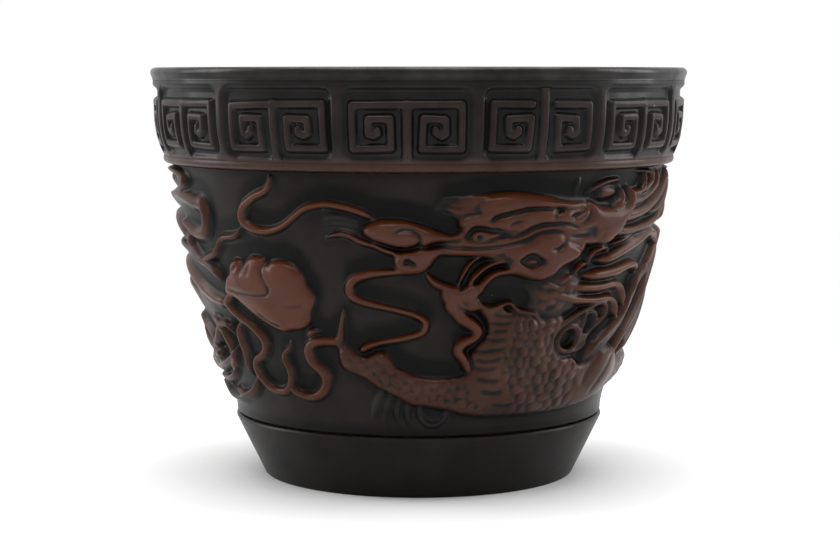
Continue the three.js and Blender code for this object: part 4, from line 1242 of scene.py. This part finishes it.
def core_wood_material():
    """Turned wood with its grain along the core's height."""
    material = bpy.data.materials.new("core_wood")
    material.use_nodes = True
    tree = material.node_tree
    shader = tree.nodes["Principled BSDF"].inputs
    place = put(tree, "ShaderNodeMapping", Vector=object_place(tree), Scale=(40.0, 40.0, 300.0)).outputs[0]
    grain = put(tree, "ShaderNodeTexNoise", Vector=place, Scale=4.0, Detail=6.0).outputs[0]
    feed(tree, shader["Base Color"], mix_colour(tree, grain, (0.2, 0.1, 0.045, 1), (0.42, 0.26, 0.13, 1)))
    shader["Roughness"].default_value = 0.7
    return material


def finish_with(piece, material):
    piece.data.materials.clear()
    piece.data.materials.append(material)


def dress(piece, material, node):
    """Gives a piece its finish, lets it ride on the cup and hides the CAD node that it stands for."""
    finish_with(piece, material)
    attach(piece, "root")
    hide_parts(node)


# Relief pieces
def build_relief(sheet, forms, height, rub):
    """The relief cut into one piece for each form, front and back, with its edges just under the ground."""
    least_height, dip, dip_width = 0.01, 0.05, 0.03
    # Painted shade for the relief pieces, kept in their shade attribute
    shade = painted_shade(sheet, height, height)
    face = height - dip * (1 - smoothstep(0.0, dip_width, height))
    owner = ((forms[:, :-1, :-1] + forms[:, 1:, 1:]) / 2).argmax(0)
    raised = (height[:-1, :-1] + height[1:, 1:]) / 2 > least_height
    normals = grid_normals(on_wall(sheet, np.maximum(height, 0)))
    half_turned = np.array([-1, -1, 1])
    for number, draw in enumerate(DRAWINGS):
        keep = without_corner_contacts(raised & (owner == number))
        for side, turn, facing in (("front", 0.0, normals), ("back", math.pi, normals * half_turned)):
            front = on_wall(sheet, face, turn)
            back = on_wall(sheet, sheet.empty(-SUNK), turn)
            node = f"{draw.__name__}_{side}"
            # The rub attribute holds the wear together with painted light on the forms' upper sides; the
            # shade attribute holds painted shade
            values = {"rub": rub, "shade": shade}
            piece = laid_piece(f"{node}_lacquer", keep, front, back, facing, values)
            dress(piece, relief_lacquer, node)


# The ground coat under the relief, from the foot's ledge to the bead
def build_ground(sheet, height):
    turn_in, corner_steps, levels, inner_spacing, segments = 0.2, 5, 100, 9, 420
    centre = (ground_radius(WALL_LOW) - turn_in, WALL_LOW + turn_in)
    outside = fillet(centre, turn_in, -90, -10, corner_steps)
    rise = np.linspace(WALL_LOW + turn_in, WALL_HIGH, levels)
    outside += list(zip(ground_radius(rise), rise))
    inside = [(r - GROUND_COAT, z) for r, z in outside[:corner_steps:-inner_spacing]]
    foot_corner = (outside[0][0] - 0.3, WALL_LOW)
    piece = turned_piece("ground_coat", [*outside, *inside, foot_corner], segments, sharp=40)
    x, y, z = (np.array([v.co for v in piece.data.vertices]) / MM).T
    angle = (np.arctan2(x, -y) + np.pi / 2) % np.pi - np.pi / 2
    # Painted shade on the ground coat: above and right of the forms, between them, over the ledge and under
    # the bead
    shade = painted_shade(sheet, height, sheet.empty(0))
    row = np.rint(np.interp(z, sheet.z, np.arange(len(sheet.z)))).astype(int)
    column = np.rint(np.interp(angle, sheet.angle, np.arange(len(sheet.angle)))).astype(int)
    set_attribute(piece, "shade", shade[row, column])
    dress(piece, wall_lacquer, "ground_wall")


# The lining inside the cup, with a rounded curve from its floor to its wall
def build_lining():
    one_corner, least_wall = 0.1, 1
    curve, wall = [], []
    for z, ring in zip(*rings("inner_lining")):
        ring = ring[ring > least_wall]
        (wall if np.ptp(ring) > one_corner else curve).append((ring.max(), ring.min(), z))
    # On the curve the outer and inner corners lie at levels that take turns
    outside = [(outer, z) for outer, _, z in [*curve[::2], *wall]]
    inside = [(inner, z) for _, inner, z in [*curve[1::2], *wall]]
    profile = [(0, outside[0][1]), *outside, *inside[::-1], (0, inside[0][1])]
    piece = turned_piece("lining_lacquer", profile, TURNED_SEGMENTS, sharp=60)
    dress(piece, black_lacquer, "inner_lining")


# Lip, bead and foot
def build_lip():
    """The rolled lip, which flows down into the collar's face."""
    mouth = inner_radius("inner_lining", LIP_LOW)
    outer_round, inner_round = 0.68, 0.66
    # The lip's neck, as how far each point lies inside the rim and above the collar
    neck = ((0.24, -0.02), (0.25, 0.14), (0.22, 0.34), (0.12, 0.58), (0.03, 0.8))
    profile = [
        *((RIM_R - inset, BAND_HIGH + rise) for inset, rise in neck),
        *fillet((RIM_R - outer_round, RIM_Z - outer_round), outer_round, 0, 90, 12),
        *fillet((mouth + inner_round, RIM_Z - inner_round), inner_round, 90, 180, 8),
        (mouth, BAND_HIGH),
    ]
    piece = turned_piece("lip_lacquer", profile, TURNED_SEGMENTS, sharp=50)
    dress(piece, lip_lacquer, "rim_lip")


def build_bead():
    """The round bead under the collar, just lapped by it."""
    bead_round, depth, lap = 0.65, 1.3, 0.02
    profile = [
        (BEAD_R - depth, BEAD_LOW),
        *fillet((BEAD_R - bead_round, BEAD_LOW + bead_round), bead_round, -90, 10, 7),
        (BEAD_R - 0.02, BAND_LOW - 0.1),
        (BEAD_R - 0.05, BAND_LOW + lap),
        (BEAD_R - depth, BAND_LOW + lap),
    ]
    piece = turned_piece("bead_lacquer_ring", profile, TURNED_SEGMENTS, sharp=50)
    dress(piece, bead_lacquer, "band_bead")


def build_foot():
    """The tapered foot with its proud ledge, hollow underneath where the disc lies."""
    edge_round, ledge_round, taper = 0.35, 0.45, -24
    rest_width, under_wall, past_disc, below_disc = 2.5, 1.1, 0.2, 0.2
    profile = [
        (FOOT_R - edge_round, 0.0),
        *fillet((FOOT_R - edge_round, edge_round), edge_round, -80, taper, 5),
        *fillet((LEDGE_R - ledge_round, LEDGE_Z - ledge_round), ledge_round, taper, 90, 8),
        (ground_radius(WALL_LOW) - under_wall, LEDGE_Z),
        (RECESS_R + past_disc, RECESS_Z + 0.9),
        (RECESS_R + past_disc, RECESS_Z - below_disc),
        (FOOT_R - rest_width, RECESS_Z - below_disc),
        (FOOT_R - rest_width, 0.0),
    ]
    piece = turned_piece("foot_lacquer_ring", profile, TURNED_SEGMENTS, sharp=40)
    dress(piece, foot_lacquer, "foot_ring")


# Fret band
CELLS = 13
CELL_DEGREES = 360 / CELLS
FIRST_CELL = -2.2
DIVIDER = 1.45
PANEL_DEPTH = 0.62
PANEL_TOP, PANEL_BOTTOM = BAND_HIGH - 0.9, BAND_LOW + 0.45
PANEL_TALL = PANEL_TOP - PANEL_BOTTOM
PANEL_HALF = (math.radians(CELL_DEGREES) * RIM_R - DIVIDER) / 2
FRET_LINE = 1.2
STEM_LINE = 1.45
# The cells whose stem runs up to the panel's top edge, so that each looks like two narrow panels
TALL_STEMS = (1, 7)
STEM_GAP = 1.75


def rounded_box(x, z, half_wide, half_tall, corner):
    """Signed distance to a box with rounded corners, negative inside."""
    wide = abs(x) - half_wide + corner
    tall = abs(z) - half_tall + corner
    outside = np.hypot(np.maximum(wide, 0), np.maximum(tall, 0))
    return outside + np.minimum(np.maximum(wide, tall), 0) - corner


def panel_field(sheet, cell):
    """How deep the band is pressed in at one cell: one panel above, with two lobes at its lower edge."""
    x = (sheet.angle[None, :] - math.radians(FIRST_CELL + cell * CELL_DEGREES)) * RIM_R
    x = (x + math.pi * RIM_R) % (2 * math.pi * RIM_R) - math.pi * RIM_R
    z = sheet.z[:, None] - PANEL_BOTTOM
    whole = rounded_box(x, z - 0.62 * PANEL_TALL, PANEL_HALF, 0.38 * PANEL_TALL, corner=1.2)
    half = PANEL_HALF / 2
    lobes = rounded_box(abs(x) - half, z - 0.5 * PANEL_TALL, half, 0.5 * PANEL_TALL, corner=1.5)
    return PANEL_DEPTH * smoothstep(0.25, -0.45, np.minimum(whole, lobes))


def scroll_field(sheet, cell, rng):
    """One cell's double scroll: its height above the panel, a little uneven as hand-cut moulds are."""
    middle = FIRST_CELL + cell * CELL_DEGREES
    tall_stem = cell in TALL_STEMS
    top, inner, hook, low = (PANEL_BOTTOM + PANEL_TALL * share for share in (0.77, 0.58, 0.35, 0.16))
    outer, left, curl, near = (PANEL_HALF * share for share in (0.845, 0.6, 0.44, 0.25))
    across, up = 0.08, 0.07
    field = sheet.empty(OUTSIDE)
    for side in (-1, 1):
        corners = [
            (0, top), (side * outer, top), (side * outer, low), (side * near, low), (side * near, inner),
            (side * left, inner - 0.1), (side * left, hook + 0.2), (side * (left + curl) / 2, hook - 0.1),
            (side * curl, hook + 0.25), (side * curl, hook + 0.7),
        ]
        shaken = [(x + rng.normal(0, across), z + rng.normal(0, up)) for x, z in corners]
        shaken[0] = (side * STEM_GAP if tall_stem else 0, top)
        field = smooth_max(field, bar_field(sheet, middle, shaken, FRET_LINE), blend=0.12)
    stem = [(0, PANEL_TOP + 0.1 if tall_stem else top), (rng.normal(0, across), PANEL_BOTTOM - 0.1)]
    return smooth_max(field, bar_field(sheet, middle, stem, STEM_LINE), blend=0.12)


def bar_field(sheet, middle, corners, width):
    """A flat-topped bar of the fret along straight legs between corners."""
    line = []
    for (x0, z0), (x1, z1) in zip(corners, corners[1:]):
        for t in np.arange(0, 1, 0.1):
            line.append((math.radians(middle) + (x0 + (x1 - x0) * t) / RIM_R, z0 + (z1 - z0) * t))
    line.append((math.radians(middle) + corners[-1][0] / RIM_R, corners[-1][1]))
    near, _ = sheet.distance(np.array(line), width / 2 + REACH)
    across = near / (width / 2)
    crown = (PANEL_DEPTH - 0.06) * np.maximum(1 - across**4, 0) ** 0.6
    return np.where(across < 1, crown, np.maximum(-(near - width / 2) * FALL, OUTSIDE))


def build_band():
    """The collar, pressed in at each panel, with its low border and its dividers rubbed brown."""
    rows, cell_columns, edge_drop, edge_tall = 60, 84, 0.05, 0.3
    start = FIRST_CELL - CELL_DEGREES / 2
    sheet = Sheet(start, start + 360, CELLS * cell_columns, BAND_LOW, BAND_HIGH, rows, band_radius)
    depth = softened(sum(panel_field(sheet, cell) for cell in range(CELLS)))
    near_top = np.clip(1 - (BAND_HIGH - sheet.z) / edge_tall, 0, 1)
    top_edge = edge_drop * (1 - np.sqrt(1 - near_top**2))
    face = on_wall(sheet, -depth - top_edge[:, None])[:, :-1]
    count, around = face.shape[:2]
    angle = sheet.angle[:-1]
    back = np.stack([
        np.stack([radius * np.sin(angle), -radius * np.cos(angle), np.full(around, z)], 1)
        for radius, z in ((inner_radius("fret_band", z), z) for z in (BAND_HIGH, BAND_LOW))
    ])
    points = np.vstack([face.reshape(-1, 3), back.reshape(-1, 3)])
    index = np.arange((count + 2) * around).reshape(count + 2, around)
    follow = np.roll(index, -1, 1)
    order = [*range(count + 2), 0]
    faces = np.vstack([
        np.stack([index[i], follow[i], follow[j], index[j]], 1) for i, j in zip(order, order[1:])
    ])
    raised = smoothstep(0.6, 0.1, depth)
    low_border = smoothstep(1.3, 0.4, sheet.z - BAND_LOW)[:, None]
    top_border = smoothstep(1.2, 0.5, BAND_HIGH - sheet.z)[:, None]
    worn = raised * np.maximum(0.9 * low_border, 0.3 * (1 - top_border))
    rub = np.zeros(len(points))
    rub[: count * around] = worn[:, :-1].ravel()
    piece = mesh_piece("fret_band_lacquer", points, faces, None, {"rub": rub})
    keep_sharp(piece, 60)
    dress(piece, fret_lacquer, "fret_band")


def build_scrolls():
    """The double scroll in each panel, set a little into the panel's floor."""
    rows, columns, least_height, set_in = 74, 140, 0.012, 0.25
    rng = np.random.default_rng(7)
    for cell in range(CELLS):
        middle, half = FIRST_CELL + cell * CELL_DEGREES, CELL_DEGREES / 2
        low = PANEL_BOTTOM - 0.3
        sheet = Sheet(middle - half, middle + half, columns, low, PANEL_TOP, rows, band_radius)
        scroll = softened(scroll_field(sheet, cell, rng))
        height = softened(smooth_max(scroll, np.zeros_like(scroll), blend=0.25))
        floor = panel_field(sheet, cell)
        keep = without_corner_contacts((height[:-1, :-1] + height[1:, 1:]) / 2 > least_height)
        dip = 0.05 * (1 - smoothstep(0.0, 0.12, height))
        front = on_wall(sheet, np.minimum(height - floor - dip, -0.03))
        back = on_wall(sheet, -floor - set_in)
        rub = 0.12 + 0.4 * smoothstep(0.3, 0.62, height)
        number = f"{cell + 1:02d}"
        piece = laid_piece(
            f"fret_scroll_lacquer_{number}", keep, front, back, grid_normals(front), {"rub": rub}
        )
        dress(piece, fret_lacquer, f"fret_scroll_{number}")


# Floor and studio
FLOOR_HALF = 3.0
FLOOR_GREY = (0.84, 0.84, 0.84, 1)
WHITE = (1, 1, 1, 1)
# The floor shows its shadow near the cup and turns to plain white between these distances from it
SHADOW_END, WHITE_START = 0.05, 0.17
LEAST_WHITE = 0.05
WORLD_LIGHT = 0.35


def seen_or_mirrored(tree):
    """1 for what the camera sees itself, or sees mirrored in gloss or through glass."""
    path = put(tree, "ShaderNodeLightPath").outputs
    mirrored = math_node(tree, "MAXIMUM", path["Is Glossy Ray"], path["Is Transmission Ray"])
    return math_node(tree, "MAXIMUM", path["Is Camera Ray"], mirrored)


def build_floor():
    mesh = bpy.data.meshes.new("floor")
    corners = [(x * FLOOR_HALF, y * FLOOR_HALF, 0) for x, y in ((-1, -1), (1, -1), (1, 1), (-1, 1))]
    mesh.from_pydata(corners, [], [(0, 1, 2, 3)])
    floor = bpy.data.objects.new("floor", mesh)
    bpy.context.scene.collection.objects.link(floor)
    material = bpy.data.materials.new("floor_white")
    material.use_nodes = True
    tree = material.node_tree
    shader = tree.nodes["Principled BSDF"]
    shader.inputs["Base Color"].default_value = FLOOR_GREY
    shader.inputs["Roughness"].default_value = 0.9
    shader.inputs["Specular IOR Level"].default_value = 0.0
    white = put(tree, "ShaderNodeEmission", Color=WHITE, Strength=1.0)
    place = put(tree, "ShaderNodeNewGeometry").outputs["Position"]
    distance = put(tree, "ShaderNodeVectorMath", {"operation": "LENGTH"}, (place,)).outputs["Value"]
    far_share = math_node(tree, "MAXIMUM", ramp(tree, distance, SHADOW_END, WHITE_START), LEAST_WHITE)
    share = math_node(tree, "MULTIPLY", far_share, seen_or_mirrored(tree))
    blend = put(tree, "ShaderNodeMixShader", first=(share, shader.outputs[0], white.outputs[0]))
    feed(tree, tree.nodes["Material Output"].inputs["Surface"], blend.outputs[0])
    mesh.materials.append(material)


def build_world():
    """White where it is seen or mirrored, and a soft even light on the cup."""
    world = bpy.data.worlds.new("studio")
    bpy.context.scene.world = world
    world.use_nodes = True
    tree = world.node_tree
    tree.nodes.clear()
    seen = put(tree, "ShaderNodeBackground", Color=WHITE, Strength=1.0)
    soft = put(tree, "ShaderNodeBackground", Color=WHITE, Strength=WORLD_LIGHT)
    blend = put(
        tree, "ShaderNodeMixShader", first=(seen_or_mirrored(tree), soft.outputs[0], seen.outputs[0])
    )
    put(tree, "ShaderNodeOutputWorld", Surface=blend.outputs[0])


def add_softbox(name, place, aim_z, width, height, watts):
    """A lamp that looks at the cup's axis at some height. Sizes and places are in metres."""
    light = bpy.data.lights.new(name, "AREA")
    light.shape = "RECTANGLE"
    light.size, light.size_y = width, height
    light.energy = watts
    lamp = bpy.data.objects.new(name, light)
    bpy.context.scene.collection.objects.link(lamp)
    lamp.location = place
    lamp.rotation_mode = "QUATERNION"
    lamp.rotation_quaternion = (Vector((0, 0, aim_z)) - Vector(place)).to_track_quat("-Z", "Y")


def add_lamps():
    add_softbox("top_light", (0.0, 0.04, 0.6), aim_z=0.03, width=0.6, height=0.7, watts=6.0)
    for name, x in (("left_light", -0.6), ("right_light", 0.6)):
        add_softbox(name, (x, 0.12, 0.25), aim_z=0.03, width=0.3, height=0.5, watts=2.1)
    add_softbox("strip_light", (0.0, -0.3, 0.52), aim_z=0.05, width=0.5, height=0.03, watts=0.35)


# Where the camera stands, from the middle of the rim's plane and in rim radii, and how far it looks down
CAMERA_RIGHT, CAMERA_BACK, CAMERA_BELOW = 0.005, 7.717, 0.031
CAMERA_DOWN = 5.7
LENS, SENSOR_WIDTH = 87.6, 36
CLIP_NEAR, CLIP_FAR = 0.01, 20


def add_camera():
    """The camera that fits the rim, the foot and both sides of the cup in the photograph."""
    data = bpy.data.cameras.new("camera")
    data.lens, data.sensor_width = LENS, SENSOR_WIDTH
    data.clip_start, data.clip_end = CLIP_NEAR, CLIP_FAR
    camera = bpy.data.objects.new("camera", data)
    bpy.context.scene.collection.objects.link(camera)
    radius = RIM_R * MM
    camera.location = (CAMERA_RIGHT * radius, -CAMERA_BACK * radius, RIM_Z * MM - CAMERA_BELOW * radius)
    camera.rotation_euler = (math.radians(90 - CAMERA_DOWN), 0, 0)
    bpy.context.scene.camera = camera


relief_grid, relief_forms, relief_height, relief_rub_and_light = relief_sheet()
build_ground(relief_grid, relief_height)
build_relief(relief_grid, relief_forms, relief_height, relief_rub_and_light)
build_lining()
build_lip()
build_bead()
build_foot()
build_band()
build_scrolls()
finish_with(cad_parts["base_disc"], foot_lacquer)
finish_with(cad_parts["wooden_core"], core_wood_material())
build_floor()
build_world()
add_camera()
add_lamps()
bpy.context.scene.view_settings.view_transform = "Standard"
